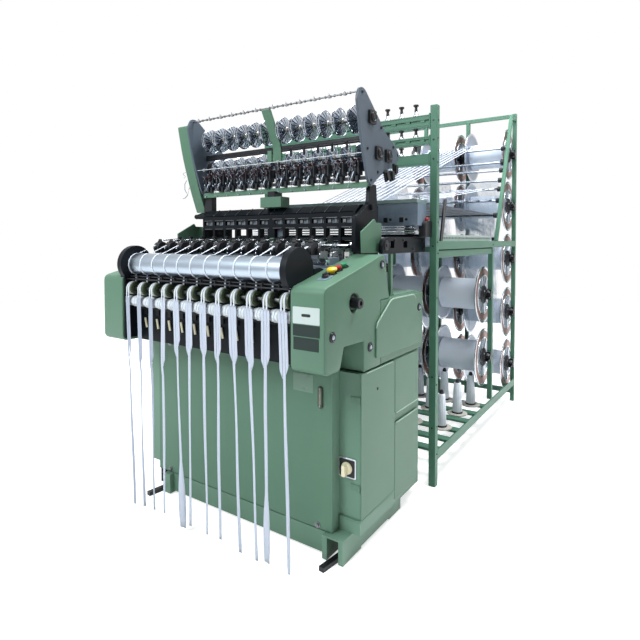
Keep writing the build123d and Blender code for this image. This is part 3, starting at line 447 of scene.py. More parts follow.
# Covers: pressed sheets whose raised fields have soft shoulders
Form().box(SIDE, LOOM_RIGHT, 215.2, 660, 736, CASING_TOP).done(
    "upper_cover_sheet", PAINT, bevel=8, segments=4, replaces="right_upper_cover")
FIELD = rounded([
    (168, 770), (168, 906), (306, 1000), (543, 1000), (572, 965), (580, 900), (606, 868), (642, 860),
    (642, 764),
], [14, 22, 26, 24, 20, 16, 18, 10, 10])
Form().plate(LOOM_RIGHT - 4, LOOM_RIGHT + 7, FIELD).done(
    "upper_cover_field", PAINT, bevel=9, segments=2, sharp=50)
Form().box(SIDE, LOOM_RIGHT - 8, 350.5, 616, 100, 734).done(
    "lower_cover_sheet", PAINT, bevel=5, segments=3, replaces="right_lower_cover")
fields = Form()
for low, high in ((492, 730), (108, 448)):
    fields.plate(LOOM_RIGHT - 10, LOOM_RIGHT, rect(355, 612, low, high, 16))
fields.done("lower_cover_fields", PAINT, bevel=8, segments=2, sharp=50)
# The ridges and the wire along the upper field's top-left shoulder are in the lighter paint: painted
# highlight where the shoulders catch the light
ribs = Form()
for z in (493, 449):
    ribs.rod((LOOM_RIGHT - 1.5, 366, z), (LOOM_RIGHT - 1.5, 604, z), 3.4, 12)
ribs.wire([(LOOM_RIGHT + 4.6, d, z) for d, z in FIELD if z > 885 and d < 560], 3.4, 10)
ribs.done("cover_ridges", PAINT_HIGHLIGHT)

# Cabinet: door sheet, hinges and the proud foot
door = Form().box(LOOM_RIGHT - 4, LOOM_RIGHT, 56, 349.7, 156.3, 729.7)
door.box(LOOM_RIGHT - 14, LOOM_RIGHT - 4, 56.5, 60, 158, 728)
door.done("door_sheet", PAINT, "cabinet_door", "cabinet_door", bevel=2.8, segments=3)
hinges = Form()
for z in (627, 281):
    hinges.box(SIDE - 12, SIDE + 22, 53.5, 56, z - 13, z + 13)
    hinges.rod((SIDE + 26, 52, z - 14), (SIDE + 26, 52, z + 14), 4.5, 16)
    for dx in (-6, 8):
        hinges.turn((SIDE + dx, 53.5, z + 6), AHEAD, [(0, 3), (1.2, 2.4)], 12)
        hinges.turn((SIDE + dx, 53.5, z - 6), AHEAD, [(0, 3), (1.2, 2.4)], 12)
hinges.done("cabinet_hinges", PAINT, bevel=0.8)
lock = Form()
lock.turn((LOOM_RIGHT, 190, 644), ACROSS, [(0, 6), (2, 6), (3, 4.5), (3, 1)], 20)
lock.done("door_lock", BLACK_PLASTIC, "cabinet_door")
# Lip along the door's top in the lighter paint: a painted highlight on the top edge
Form().bar((LOOM_RIGHT - 1.4, 98, 726), (LOOM_RIGHT - 1.4, 334, 726), 5, 6, up=ACROSS).done(
    "door_top_lip", PAINT_HIGHLIGHT, "cabinet_door", bevel=2)
foot = Form()
foot.box(SIDE - 61, LOOM_RIGHT - 1, 46, 56, 148, 157)
foot.box(LOOM_RIGHT - 2, LOOM_RIGHT + 1.5, 46, 349, 146, 155.5)
foot.done("cabinet_foot_edge", PAINT, bevel=2)

# Front panel: a sheet with a lip below, a folded right edge and a bare plate
panel = Form()
panel.box(ARM_LEFT, SIDE - 65, 0, 4, 100.5, 760)
panel.box(ARM_LEFT, SIDE - 71, 0, 14, 100.5, 106)
panel.done("front_sheet", PAINT, replaces="front_panel", bevel=2.2, segments=3)
Form().front_plate(-1.2, 0, rect(338, 438, 640, 712, 3)).done(
    "front_bare_plate", LABEL_SAGE)
Form().box(SIDE - 69, SIDE - 64.6, 2.5, 54, 101, 759).done("front_sheet_return", PAINT)
bolts = Form()
for x, z in ((458, 116), (-424, 116), (458, 744), (-424, 744)):
    bolts.turn((x, 0, z), AHEAD, [(0, 13), (2, 13), (2.5, 10), (2.5, 8), (7, 8), (8, 6), (8, 1)], 24)
bolts.done("front_bolts", DARK_STEEL)

# Oil sight glass: a narrow window in a black frame
WINDOW = rect(469, 479, 602, 660, 4)
Form().front_plate(-9, -7, WINDOW).done("sight_window", SIGHT_GLASS)
frame_hole = Form().front_plate(-20, -4, WINDOW)
Form().front_plate(-9.5, 0, rect(464, 484, 588, 674, 9)).done(
    "sight_frame", OLIVE_BLACK, bevel=1.5, replaces="oil_sight_glass", cut=frame_hole)
ends = Form()
for z in (596, 666):
    ends.turn((474, -9.5, z), AHEAD, [(0, 4.5), (2, 4.5), (3, 3)], 16)
ends.done("sight_screws", DARK_STEEL)

# Main switch: steel border, black plate and a cream handle
SWITCH = (SIDE - 26, 353)
for name, half, d0, d1, look, stands_for in (
        ("switch_border", 39, 51, 55.6, ALUMINIUM, None),
        ("switch_face", 34, 48, 51.4, BLACK_PLASTIC, "main_switch_plate")):
    x, z = SWITCH
    Form().front_plate(d0, d1, rect(x - half, x + half, z - half, z + half, 5)).done(
        name, look, replaces=stands_for, bevel=1)
knob = Form()
knob.turn((SWITCH[0], 48.4, SWITCH[1]), AHEAD, [(0, 25), (4, 24), (9, 21), (11, 20), (11, 1)], 40)
knob.front_plate(18, 38, rounded([
    (SWITCH[0] - 7, SWITCH[1] + 20), (SWITCH[0] + 7, SWITCH[1] + 20), (SWITCH[0] + 9, SWITCH[1] - 24),
    (SWITCH[0] - 9, SWITCH[1] - 24)], 5))
knob.done("switch_handle", CREAM, "main_switch", "main_switch_knob", bevel=2.5, segments=3)

# Latches: round quarter-turn locks with a slot
rings, slots = Form(), Form()
for d, z in ((-153, 908), (124, 826), (226, 1150), (612, 932)):
    rings.turn((LOOM_RIGHT, d, z), ACROSS, [
        (0, 19), (2, 19), (4, 17.5), (4.5, 15), (1.5, 13), (1.5, 1)], 36)
    slots.turn((LOOM_RIGHT + 1.4, d, z), ACROSS, [(0, 9), (4, 8.5), (5.5, 6), (5.5, 1)], 28)
    slots.bar((LOOM_RIGHT + 7, d - 6, z + 2), (LOOM_RIGHT + 7, d + 6, z - 2), 2.5, 2)
rings.done("latch_rings", BLACK_STEEL, slot="dark_steel", replaces="cover_latches")
slots.done("latch_cores", FLANGE_GREY)

# Push buttons on the right arm's slope
LEAN = math.atan2(104, 413)
UP = (0, -math.sin(LEAN), math.cos(LEAN))
BUTTON_X = SIDE - 38


def on_slope(depth, lift, x=BUTTON_X):
    return (x, depth - lift * math.sin(LEAN), 1086 + (depth + 185) * math.tan(LEAN) + lift * math.cos(LEAN))


collars, ring = Form(), [(0, 18.5), (3, 18.5), (5, 17.4), (5, 15.2), (0, 15)]
for depth in (-38, 4, 46):
    collars.turn(on_slope(depth, 0.2), UP, ring, 32, loop=True)
collars.done("button_rings", BLACK_PLASTIC, replaces="button_collars")
plate = Form()
corners = [on_slope(d, lift, BUTTON_X + dx) for lift in (0.2, 2.4)
           for dx, d in ((-21, -116), (21, -116), (21, -60), (-21, -60))]
plate.skin([[spot(*p) for p in corners[:4]], [spot(*p) for p in corners[4:]]])
plate.done("mode_plate", LABEL_BLUE, bevel=0.8)
BUTTONS = (
    ("start", 46, GREEN_PLASTIC, [(0, 9.5), (5, 9.5), (6, 13), (12, 13), (14, 11.5), (14.6, 1)]),
    ("stop", 4, RED_PLASTIC, [(0, 9.5), (5, 9.5), (6, 14), (13, 14), (15, 12.5), (15.6, 1)]),
    ("jog", -38, YELLOW_PLASTIC, [
        (0, 9.5), (7, 9.5), (8, 17), (10, 20), (14, 21), (18, 19.5), (21, 15), (22.5, 8), (22.8, 1)]),
)
for name, depth, look, profile in BUTTONS:
    button = name + "_button"
    Form().turn(on_slope(depth, 3.5), UP, profile, 36).done(name + "_cap", look, button, button)
mode = Form().turn(on_slope(-86, 2.8), UP, [(0, 14), (6, 13.5), (9, 12), (9, 1)], 28)
mode.bar(on_slope(-99, 15), on_slope(-73, 15), 7, 12, up=UP)
mode.done("mode_knob", BLACK_PLASTIC, "mode_switch", "mode_switch", bevel=1.2)

# Take-up roller, pulleys and delivery roller
ROLLER = (-145, 1139)
PULLEY = (-170, 1027)
DELIVERY = (-170, 967)
ROLLER_LEFT = ARM_LEFT + 30.3
ROLLER_RIGHT = ARM_RIGHT - 30.3
long = ROLLER_RIGHT - ROLLER_LEFT
Form().turn((ROLLER_LEFT, *ROLLER), ACROSS, [
    (0, 20), (0, 47), (3, 50), (long - 3, 50), (long, 47), (long, 20)], 96).done(
    "take_up_roller_skin", ROLLER_STEEL, "take_up_roller", "take_up_roller")

pulleys, tyres = Form(), Form()
pulley_shaft = Form().rod((INNER_LEFT, *PULLEY), (INNER_RIGHT, *PULLEY), 8, 24)
for x in HEAD_X:
    pulleys.turn((x - 21, *PULLEY), ACROSS, [
        (0, 9), (0, 24), (2, 28.5), (8, 29.4), (10, 26), (32, 26), (34, 29.4), (40, 28.5), (42, 24), (42, 16),
        (38, 13), (38, 9)], 48)
    tyres.turn((x - 11, *PULLEY), ACROSS, [
        (0, 26), (0, 29.4), (1, 30.2), (21, 30.2), (22, 29.4), (22, 26)], 48, loop=True)
# Pulley bodies in the darkened olive: painted shade on their side faces; the pale tyres keep their own colour
pulleys.done("tape_pulleys_turned", SHADED_OLIVE, "tape_pulleys", "tape_pulleys")
tyres.done("pulley_tyres", TYRE, "tape_pulleys")
pulley_shaft.done("pulley_shaft", DARK_STEEL, "tape_pulleys")

delivery = Form().rod((INNER_LEFT, *DELIVERY), (INNER_RIGHT, *DELIVERY), 8, 24)
sleeve = [(0, 9), (0, 21), (2, 23), (14, 23), (15, 25), (17, 26), (24, 26), (26, 25), (27, 22.5), (29, 22.5),
          (30, 25), (32, 26), (39, 26), (41, 25), (42, 23), (62, 23), (64, 21), (64, 9)]
for x in HEAD_X[:-1]:
    delivery.turn((x + HEAD_PITCH / 2 - 32, *DELIVERY), ACROSS, sleeve, 40)
for x in (HEAD_X[0] - HEAD_PITCH / 2 + 6, HEAD_X[-1] + 6):
    delivery.turn((x, *DELIVERY), ACROSS, [(0, 9), (0, 21), (2, 23), (26, 23), (28, 21), (28, 9)], 40)
delivery.done("delivery_roller_sleeves", WHITE_PLASTIC, "delivery_roller", "delivery_roller")

# Drums at the roller's ends
DRUM_RADIUS = 86
DRUM_LOW = 1078.2
rim = []
for i in range(33):
    a = math.radians(225 - i * 7.5)
    rim.append((ROLLER[0] + DRUM_RADIUS * math.cos(a), ROLLER[1] + DRUM_RADIUS * math.sin(a)))
rim = [(d, z) for d, z in rim if z > DRUM_LOW]
rim = [(rim[0][0], DRUM_LOW)] + rim + [(-50, 1140), (-15, 1144), (10, 1137), (28, 1112), (31, DRUM_LOW)]
Form().plate(ARM_LEFT, ARM_LEFT + 30, rim).done(
    "left_drum", BLACK, bevel=3, segments=3, replaces="roller_end_housings")
Form().plate(ARM_RIGHT - 30, ARM_RIGHT, rim).done("right_drum", BLACK, bevel=3, segments=3)

# Breast box: cross housing with end plates and two rails under the roller
breast = Form().plate(INNER_LEFT, INNER_RIGHT, [
    (-118, 775), (215, 775), (215, CASING_TOP), (150, 1078), (-120, 1078), (-120, 1054)])
breast.box(INNER_LEFT, INNER_RIGHT, -150, -118, 1066, 1078)
for x0, x1 in ((INNER_LEFT, ARM_LEFT + 9), (ARM_RIGHT - 9, INNER_RIGHT)):
    breast.plate(x0, x1, [(-196, 790), (-118, 790), (-118, 1076), (-196, 1076)])
breast.done("breast_housing", BLACK, bevel=3, segments=3, replaces="breast_box")
rails = Form()
rails.rod((ARM_LEFT, -176, 1083), (ARM_RIGHT, -176, 1083), 3.5, 16)
rails.rod((ARM_LEFT, -184, 1071), (ARM_RIGHT, -184, 1071), 3.5, 16)
rails.box(ARM_LEFT, ARM_RIGHT, -128, -120, 925, 941)
for x in HEAD_X:
    rails.box(x - 34, x - 28, -186, -120, 1064, 1088)
    rails.box(x + 20, x + 40, -126, -119, 900, 958)
rails.done("breast_rails", BLACK_STEEL, slot="dark_steel", bevel=0.8)
tabs = Form()
for x in HEAD_X:
    tabs.bar((x + 34, -123, 838), (x + 28, -127, 884), 5, 11, up=ACROSS)
tabs.done("breast_tabs", CREAM, bevel=0.8)

# Weaving heads: a cast block for each tape with its castings and three bright guide bars
beds, blacks, brights, dark = Form(), Form(), Form(), Form()
beds.box(INNER_LEFT, INNER_RIGHT, 36, 146, 1078, 1149)
beds.box(INNER_LEFT, INNER_RIGHT, 20, 36, 1104, 1138)
for x in HEAD_X:
    beds.box(x - 27, x + 27, 61, 146, 1149, 1178)
    dark.box(x - 22, x + 20, -6, 62, 1176, 1192)
    dark.box(x + 20, x + 34, 0, 46, 1180, 1206)
    # castings over the head
    blacks.plate(x - 24, x + 10, rounded([
        (-34, 1192), (-40, 1216), (-28, 1238), (-2, 1244), (20, 1232), (26, 1192)], 10))
    blacks.plate(x - 30, x - 24, rounded([(-26, 1186), (-26, 1216), (-8, 1226), (14, 1216), (14, 1186)], 8))
    blacks.turn((x - 8, -10, 1240), UPWARD, [(0, 12), (6, 12), (9, 8), (14, 8), (16, 6)], 20)
    blacks.turn((x - 12, -38, 1212), AHEAD, [(0, 9), (5, 9), (7, 6)], 18)
    blacks.plate(x + 10, x + 22, rounded([(-4, 1190), (-4, 1216), (18, 1226), (44, 1216), (44, 1190)], 7))
    blacks.box(x + 8, x + 22, 84, 102, 1238, 1268)
    blacks.rod((x - 20, 60, 1212), (x + 30, 60, 1212), 6, 16)
    # guide bars along the depth
    for dx, low, start, end in ((-2, 1249, 6, 112), (12, 1240, 16, 124), (26, 1230, 26, 118)):
        brights.bar((x + dx, start, low), (x + dx, end, low + 9), 3.6, 5)
        brights.turn((x + dx - 4, start + 8, low + 1), ACROSS, [(0, 3.4), (8, 3.4), (9, 2.4)], 14)
    brights.wire([(x + 18, 8, 1204), (x + 20, 0, 1222), (x + 17, 10, 1236), (x + 19, 50, 1240)], 1.2)
    brights.wire([(x - 16, -20, 1240), (x - 14, 4, 1252), (x - 10, 44, 1254)], 1.1)
    brights.turn((x - 12, -45, 1212), AHEAD, [(0, 3.4), (2, 3.4), (2.6, 2)], 12)
    brights.turn((x + 27, -0.5, 1193), AHEAD, [(0, 5), (3, 5), (4, 3)], 14)
    dark.turn((x + 16, 44, 1206), AHEAD, [(0, 8), (5, 8), (6, 5)], 16)
beds.done("bed_castings", GREY, slot="dark_steel", bevel=2.5, replaces="weaving_beds")
blacks.done("head_castings", BLACK_STEEL, bevel=1.2)
brights.done("head_guide_bars", CHROME, bevel=0.7)
dark.done("head_plates", DARK_STEEL, bevel=1.0)

needles = Form()
needles.box(HEAD_X[0] - 30, HEAD_X[-1] + 30, 35, 46, 1150.4, 1162)
for x in HEAD_X:
    needles.box(x + 28, x + 34, 36, 60, 1161, 1172)
    needles.wire([(x + 30.5, 40, 1170), (x + 30.5, 30, 1182), (x + 30.5, 12, 1184), (x + 30.5, 6, 1180)], 1.5)
needles.done("needle_bar", CHROME, "knitting_needles", "knitting_needles", bevel=0.8)

reeds = Form().box(INNER_LEFT, INNER_RIGHT, 166, 188, 1086, 1116)
wires = Form()
for x in HEAD_X:
    reeds.box(x - 27, x + 27, 171, 181, 1116, 1128)
    reeds.box(x - 27, x + 27, 172, 180, 1204, 1214)
    for side in (-1, 1):
        reeds.box(x + side * 25 - 2, x + side * 25 + 2, 172, 180, 1128, 1204)
    for k in range(17):
        wires.box(x - 22.4 + k * 2.8, x - 21.7 + k * 2.8, 173, 179, 1126, 1206)
reeds.done("reed_frames", DARK_STEEL, "sley", "sley_reeds", bevel=0.8)
wires.done("reed_wires", CHROME, "sley")

arms = Form().rod((-513.7, 246, 1226), (483.7, 246, 1226), 9, 24)
for x in HEAD_X:
    arms.plate(x + 27, x + 39, rounded([(230, 1212), (262, 1212), (262, 1240), (230, 1242)], 6))
    arms.plate(x + 30, x + 36, rounded([
        (240, 1236), (180, 1222), (130, 1212), (92, 1204),
        (92, 1198), (130, 1204), (180, 1212), (240, 1220)], 3))
    arms.wire([(x + 33, 96, 1201), (x + 30, 82, 1198), (x + 12, 76, 1196), (x - 8, 78, 1195)], 1.8)
    arms.screw((x + 39, 246, 1236), ACROSS, 4, 3)
arms.done("weft_arms", CHROME, "weft_needles", "weft_needles", bevel=1.0)

# Harness: a row of deep bays behind the heads with a sloping panelled top
BAY_EDGE = [CENTRE + (i - 6) * HEAD_PITCH * 0.954 for i in range(13)]
HARNESS_LEFT, HARNESS_RIGHT = -494.0, 464.0
HARNESS_IN = (HARNESS_LEFT + 12.3, HARNESS_RIGHT - 12.3)
shell, insets, seams = Form(), Form(), Form()
for x0 in (HARNESS_LEFT, HARNESS_RIGHT - 12):
    shell.plate(x0, x0 + 12, [(285, CASING_TOP), (500, CASING_TOP), (500, 1410), (330, 1410), (285, 1379)])
shell.plate(*HARNESS_IN, [(285, 1379), (331, 1410), (500, 1410), (500, 1402), (334, 1402), (292, 1371)])
for x in BAY_EDGE[1:-1]:
    wide = 22 if abs(x - CENTRE) < 2 else 6.5
    shell.plate(x - wide, x + wide, [(286, CASING_TOP), (322, CASING_TOP), (322, 1398), (286, 1374)])
    seams.plate(x - 2.5, x + 2.5, [(283.5, 1380), (330, 1413), (332, 1410), (286, 1377)])
for low, high, d0, d1 in ((1349, 1374, 285.5, 300), (1305, 1328, 285.5, 312), (1005, 1056, 285.5, 301),
                          (1250, 1264, 292, 312)):
    shell.box(*HARNESS_IN, d0, d1, low, high)
for low, high in ((1350, 1400), (CASING_TOP, 1055)):
    shell.box(*HARNESS_IN, 484, 500, low, high)
for i in range(12):
    x0, x1 = BAY_EDGE[i] + 8, BAY_EDGE[i + 1] - 8
    insets.box(x0, x1, 299, 303, 1328, 1349)
    seams.box(x0 + 6, x0 + 22, 293, 299, 1331, 1345)
    seams.box(x1 - 20, x1 - 12, 295, 299, 1329, 1348)
    seams.box(x0 + 2, x1 - 2, 284, 285.6, 1352, 1354.5)
    seams.box(x0 + 4, x1 - 4, 284, 285.6, 1308, 1310.5)
insets.box(BAY_EDGE[6] + 24, BAY_EDGE[7] - 7, 306, 310, 1264, 1305)
insets.done("harness_insets", INSET, bevel=0.8)
seams.done("harness_seams", DARK_STEEL, bevel=0.6)
shell.box(CENTRE - 30, CENTRE + 30, 285.5, 301, 1055, 1250)
for x0, x1 in ((-546.5, HARNESS_LEFT - 0.3), (HARNESS_RIGHT + 0.3, 516.5)):
    shell.box(x0, x1, 345, 369, 1384, 1409)
for x0, x1 in ((HARNESS_LEFT - 28, HARNESS_LEFT - 0.3), (HARNESS_RIGHT + 0.3, HARNESS_RIGHT + 28)):
    shell.box(x0, x1, 286, 325, 1196, 1256)
shell.turn((-569, 302, 1379), ACROSS, [(0, 4), (0, 10), (5, 13), (28, 13), (34, 10), (75, 10)], 20)
shell.plate(HARNESS_LEFT - 52, HARNESS_LEFT, rounded([
    (290, 1366), (340, 1366), (360, 1402), (330, 1404), (296, 1392)], 6))
shell.done("harness_shell", BLACK, bevel=1.8, replaces="harness_frame")
Form().plate(484, 504, rounded([
    (217, 1200), (217, 1352), (251, 1361), (338, 1416), (346, 1500), (404, 1500), (424, 1327), (404, 1200)],
    [4, 8, 30, 16, 3, 3, 20, 4])).done("harness_cheek", BLACK, bevel=2)
Form().box(CENTRE - 22, CENTRE + 30, 268, 285.4, 1226, 1262).done(
    "harness_centre_block", PAINT, bevel=3, segments=3)


# Healds: bright wires in frames whose top bars stay below the harness windows
def healds(name, body, node_name, d0, d1):
    frame_form, wire_form = Form(), Form()
    for x0, x1 in ((-481.7, CENTRE - 0.15), (CENTRE + 0.15, 451.7)):
        frame_form.box(x0, x1, d0, d1, 1226, 1248)
        frame_form.box(x0, x1, d0, d1, 1095, 1117)
        for edge in (x0, x1 - 8):
            frame_form.box(edge, edge + 8, d0, d1, 1117, 1226)
    middle = (d0 + d1) / 2
    for x in HEAD_X:
        if abs(x - CENTRE) < 439:
            for k in range(9):
                wire_form.box(x - 16.4 + k * 4, x - 15.6 + k * 4, middle - 1.2, middle + 1.2, 1117, 1226)
            wire_form.box(x - 17, x + 17, middle - 2, middle + 2, 1168, 1174)
    frame_form.done(name + "_bars", BLACK_STEEL, body, node_name, bevel=1)
    wire_form.done(name + "_wires", CHROME, body)


healds("heald_front", "heald_front", "heald_frames_front", 325, 339)
healds("heald_rear", "heald_rear", "heald_frames_rear", 395, 409)

# Feeder: cheeks, hubs, posts and brackets
IN_LEFT, IN_RIGHT = -519.0, 505.0
CHEEK_LEFT, CHEEK_RIGHT = IN_LEFT - 12, IN_RIGHT + 12
CHEEK = rounded([
    (232, 1900), (272, 1900), (425, 1783), (467, 1745), (566, 1704), (620, 1665), (604, 1628), (394, 1530),
    (340, 1486), (303, 1513), (240, 1696), (207, 1852)], [22, 20, 60, 24, 20, 22, 22, 40, 18, 26, 60, 18], 5)
Form().plate(IN_RIGHT, CHEEK_RIGHT, CHEEK).done(
    "right_cheek", CHEEK_GREY, replaces="feeder_side_plates", bevel=1.5)
Form().plate(CHEEK_LEFT, IN_LEFT, CHEEK).done("left_cheek", CHEEK_GREY, bevel=1.5)
hubs, bolts = Form(), Form()
HUBS = ((330, 1788, 29, 21), (392, 1640, 29, 21), (488, 1640, 28, 20))
for out, face in ((1, CHEEK_RIGHT), (-1, CHEEK_LEFT)):
    for d, z, half, ring in HUBS:
        tall = half + 2
        hubs.plate(*sorted((face, face + out * 12)), rect(d - half, d + half, z - tall, z + tall, 12))
        hubs.turn((face + out * 12, d, z), (out, 0, 0), [
            (0, ring), (5, ring), (6.5, ring - 3), (3, ring - 6), (3, ring - 9), (6, ring - 10), (6, 1)], 32)
    for d, z, turn in ((468, 1546, 0.45), (520, 1552, 0.2), (556, 1586, -0.1)):
        c, w = math.cos(turn), math.sin(turn)
        for lift, half in ((0, 17), (9, 12)):
            corners = [(d + c * a - w * b, z + w * a + c * b) for a, b in (
                (-half, -half - 8), (half, -half - 8), (half, half + 8), (-half, half + 8))]
            x0 = face + out * lift
            hubs.plate(*sorted((x0, x0 + out * 10)), rounded(corners, 5))
    for d, z in ((250, 1880), (296, 1648), (330, 1514), (424, 1760), (548, 1690), (392, 1556), (600, 1660)):
        bolts.turn((face, d, z), (out, 0, 0), [(0, 6.5), (3, 6.5), (4, 5), (4, 3), (2, 3), (2, 1)], 20)
hubs.done("cheek_hubs", BLACK_PLASTIC, bevel=1.2, replaces="feeder_bearings")
bolts.done("cheek_bolts", BLACK_STEEL)

greens, black_parts = Form(), Form()
greens.box(IN_LEFT, IN_RIGHT, 318, 362, 1490, 1495)
greens.box(IN_LEFT, IN_RIGHT, 316, 322, 1482, 1508)
greens.box(CENTRE - 57, CENTRE + 73, 272, 340, 1411, 1461)
greens.plate(CENTRE - 25, CENTRE + 25, rounded([
    (243, 1880), (258, 1880), (348, 1716.3), (344, 1640), (334, 1640), (334, 1712)], [5, 5, 30, 8, 8, 30]))
greens.box(CENTRE - 62, CENTRE - 36, 334, 350, 1640, 1700)
greens.plate(-600, -531.3, rounded([
    (207, 1862), (241, 1696), (298, 1513), (340, 1404), (360, 1404), (324, 1513), (268, 1696), (236, 1864)],
    [12, 60, 40, 3, 3, 40, 60, 12]))
for x0, x1 in ((545.3, 553), (-583, -575.3)):
    greens.plate(x0, x1, rounded([
        (184, 1285), (298, 1342), (310, 1326), (361, 1326), (363, 1196), (190, 1196)], [4, 4, 3, 4, 3, 3]))
for x0, x1 in ((553.3, 570), (-600, -583.3)):
    greens.box(x0, x1, 318, 358, 1200, 1240)
for x0, x1 in ((574, 588), (-617, -603)):
    greens.box(x0, x1, 384, 406, 1005, 1190)
    greens.box(x0 - 14, x1 + 2, 378, 412, 1005, 1012)
greens.done("feeder_green_frame", PAINT, bevel=2.5, segments=3, replaces="feeder_frame")
black_parts.box(CENTRE - 24, CENTRE + 20, 288, 350, 1461, 1490)
black_parts.box(CENTRE - 12, CENTRE + 12, 335, 343, 1508, 1640)
black_parts.box(-531, -471, 330, 366, 1406, 1490)
black_parts.box(IN_LEFT, IN_RIGHT, 336, 346, 1700, 1716)
black_parts.rod((IN_LEFT, 341, 1694), (IN_RIGHT, 341, 1694), 7, 16)
for i in range(6):
    x = CENTRE + 60 + i * 80
    black_parts.turn((x + 22, 340, 1660), UPWARD, [(0, 6), (32, 6), (33, 11), (40, 11)], 16)
black_parts.turn((-518.8, 392, 1640), ACROSS, [(0, 52), (5, 52), (7, 48), (7, 12)], 40)
black_parts.done("feeder_black_frame", BLACK_STEEL, bevel=1.2)
hooks = Form()
for path in ([(-602, 262, 1624), (-616, 256, 1618), (-610, 258, 1606), (-600, 260, 1600), (-612, 258, 1592)],
             [(-600, 268, 1580), (-612, 264, 1560), (-612, 264, 1530), (-602, 268, 1510)],
             [(-584, 272, 1540), (-592, 266, 1500), (-606, 262, 1484), (-622, 260, 1480)]):
    hooks.wire(path, 2.2, 10)
hooks.done("end_hooks", FLANGE_GREY, slot="bright_steel")

# Feed wheels: two dishes of tapering fingers face to face on a pale hub
WHEEL_X = sorted(CENTRE + side * (53.5 + i * 80) for side in (-1, 1) for i in range(6))
FINGERS = 16


def feed_wheels(name, body, node_name, depth, height, radius):
    fingers, hubs_form, core = Form(), Form(), Form()
    core.rod((IN_LEFT + 0.5, depth, height), (IN_RIGHT - 0.5, depth, height), 9, 20)
    for x in WHEEL_X:
        middle = x - 2
        core.turn((middle - 5, depth, height), ACROSS, [
            (0, 9), (0, radius - 16), (5, radius - 9), (10, radius - 16), (10, 9)], 40)
        for face in (-1, 1):
            fingers.turn((middle + face * 3.5, depth, height), (face, 0, 0), [
                (0, radius - 5), (1.6, radius - 4), (3.2, radius - 2), (1.6, radius), (0, radius - 1.5)], 48,
                loop=True)
            for i in range(FINGERS):
                a = 2 * math.pi / FINGERS * (i + 0.25 * face)
                rings = []
                for r, wide, reach in ((12, 3.6, 17), (radius * 0.6, 9.6, 12.5), (radius - 3, 17.0, 4.6)):
                    along = Vector((0, math.cos(a), math.sin(a)))
                    cross = Vector((0, -math.sin(a), math.cos(a)))
                    c = Vector((middle + face * reach, depth, height)) + along * r
                    rings.append([spot(*(c + cross * s * wide / 2 + Vector((face * t, 0, 0))))
                                  for s, t in ((-1, 0), (1, 0), (1, 1.6), (-1, 1.6))])
                fingers.skin(rings)
        hubs_form.turn((middle - 22, depth, height), ACROSS, [
            (0, 9), (0, 12), (3, 13.5), (6, 13.5), (8, 11.5), (36, 11.5), (38, 13.5), (42, 14), (44, 12),
            (44, 9),
        ], 28)
    fingers.done(name, WHEEL_STEEL, body, node_name, sharp=40)
    hubs_form.done(name + "_hubs", HUB_METAL, body)
    core.done(name + "_cores", DARK_STEEL, body)


feed_wheels("upper_wheels", "upper_feed", "upper_feed_wheels", 328, 1788, 64)
feed_wheels("lower_wheels", "lower_feed", "lower_feed_wheels", 392, 1640, 56)

# Thread guides: a dark rod with oval beads at the top, a pale rod with white eyelets lower down
TOP_GUIDE, LOW_GUIDE = (246, 1884), (272, 1628)
beads, eyelets = Form(), Form()
top_rod = Form().rod((IN_LEFT, *TOP_GUIDE), (IN_RIGHT, *TOP_GUIDE), 3.6, 14)
low_rod = Form().rod((IN_LEFT, *LOW_GUIDE), (IN_RIGHT, *LOW_GUIDE), 1.7, 12)
TURNS = [math.radians(angle) for angle in range(180, -1, -20)]
bead = [(12 * math.cos(a), 1.5 + 6.8 * math.sin(a)) for a in TURNS]
for x in WHEEL_X:
    beads.turn((x - 4, *TOP_GUIDE), ACROSS, bead, 18)
    for dx in (-26, 22):
        top_rod.turn((x + dx, *TOP_GUIDE), ACROSS, [(-4, 3.6), (-3, 6), (3, 6), (4, 3.6)], 14)
    top_rod.wire([(x - 4, 246, 1888), (x - 4, 238, 1896), (x + 2, 232, 1888), (x + 4, 240, 1878)], 1.2)
    eyelets.turn((x - 7, *LOW_GUIDE), ACROSS, [(0, 2), (0, 4), (2, 6), (12, 6), (14, 4), (14, 2)], 16)
    eyelets.turn((x, 272, 1624), (0, 0, -1), [(0, 3), (5, 3), (6, 2)], 12)
top_rod.done("top_guide_rod", DARK_STEEL, replaces="thread_guides")
low_rod.done("low_guide_rod", WHITE_PLASTIC)
beads.done("guide_beads", BEAD)
eyelets.done("guide_eyelets", BEAD)

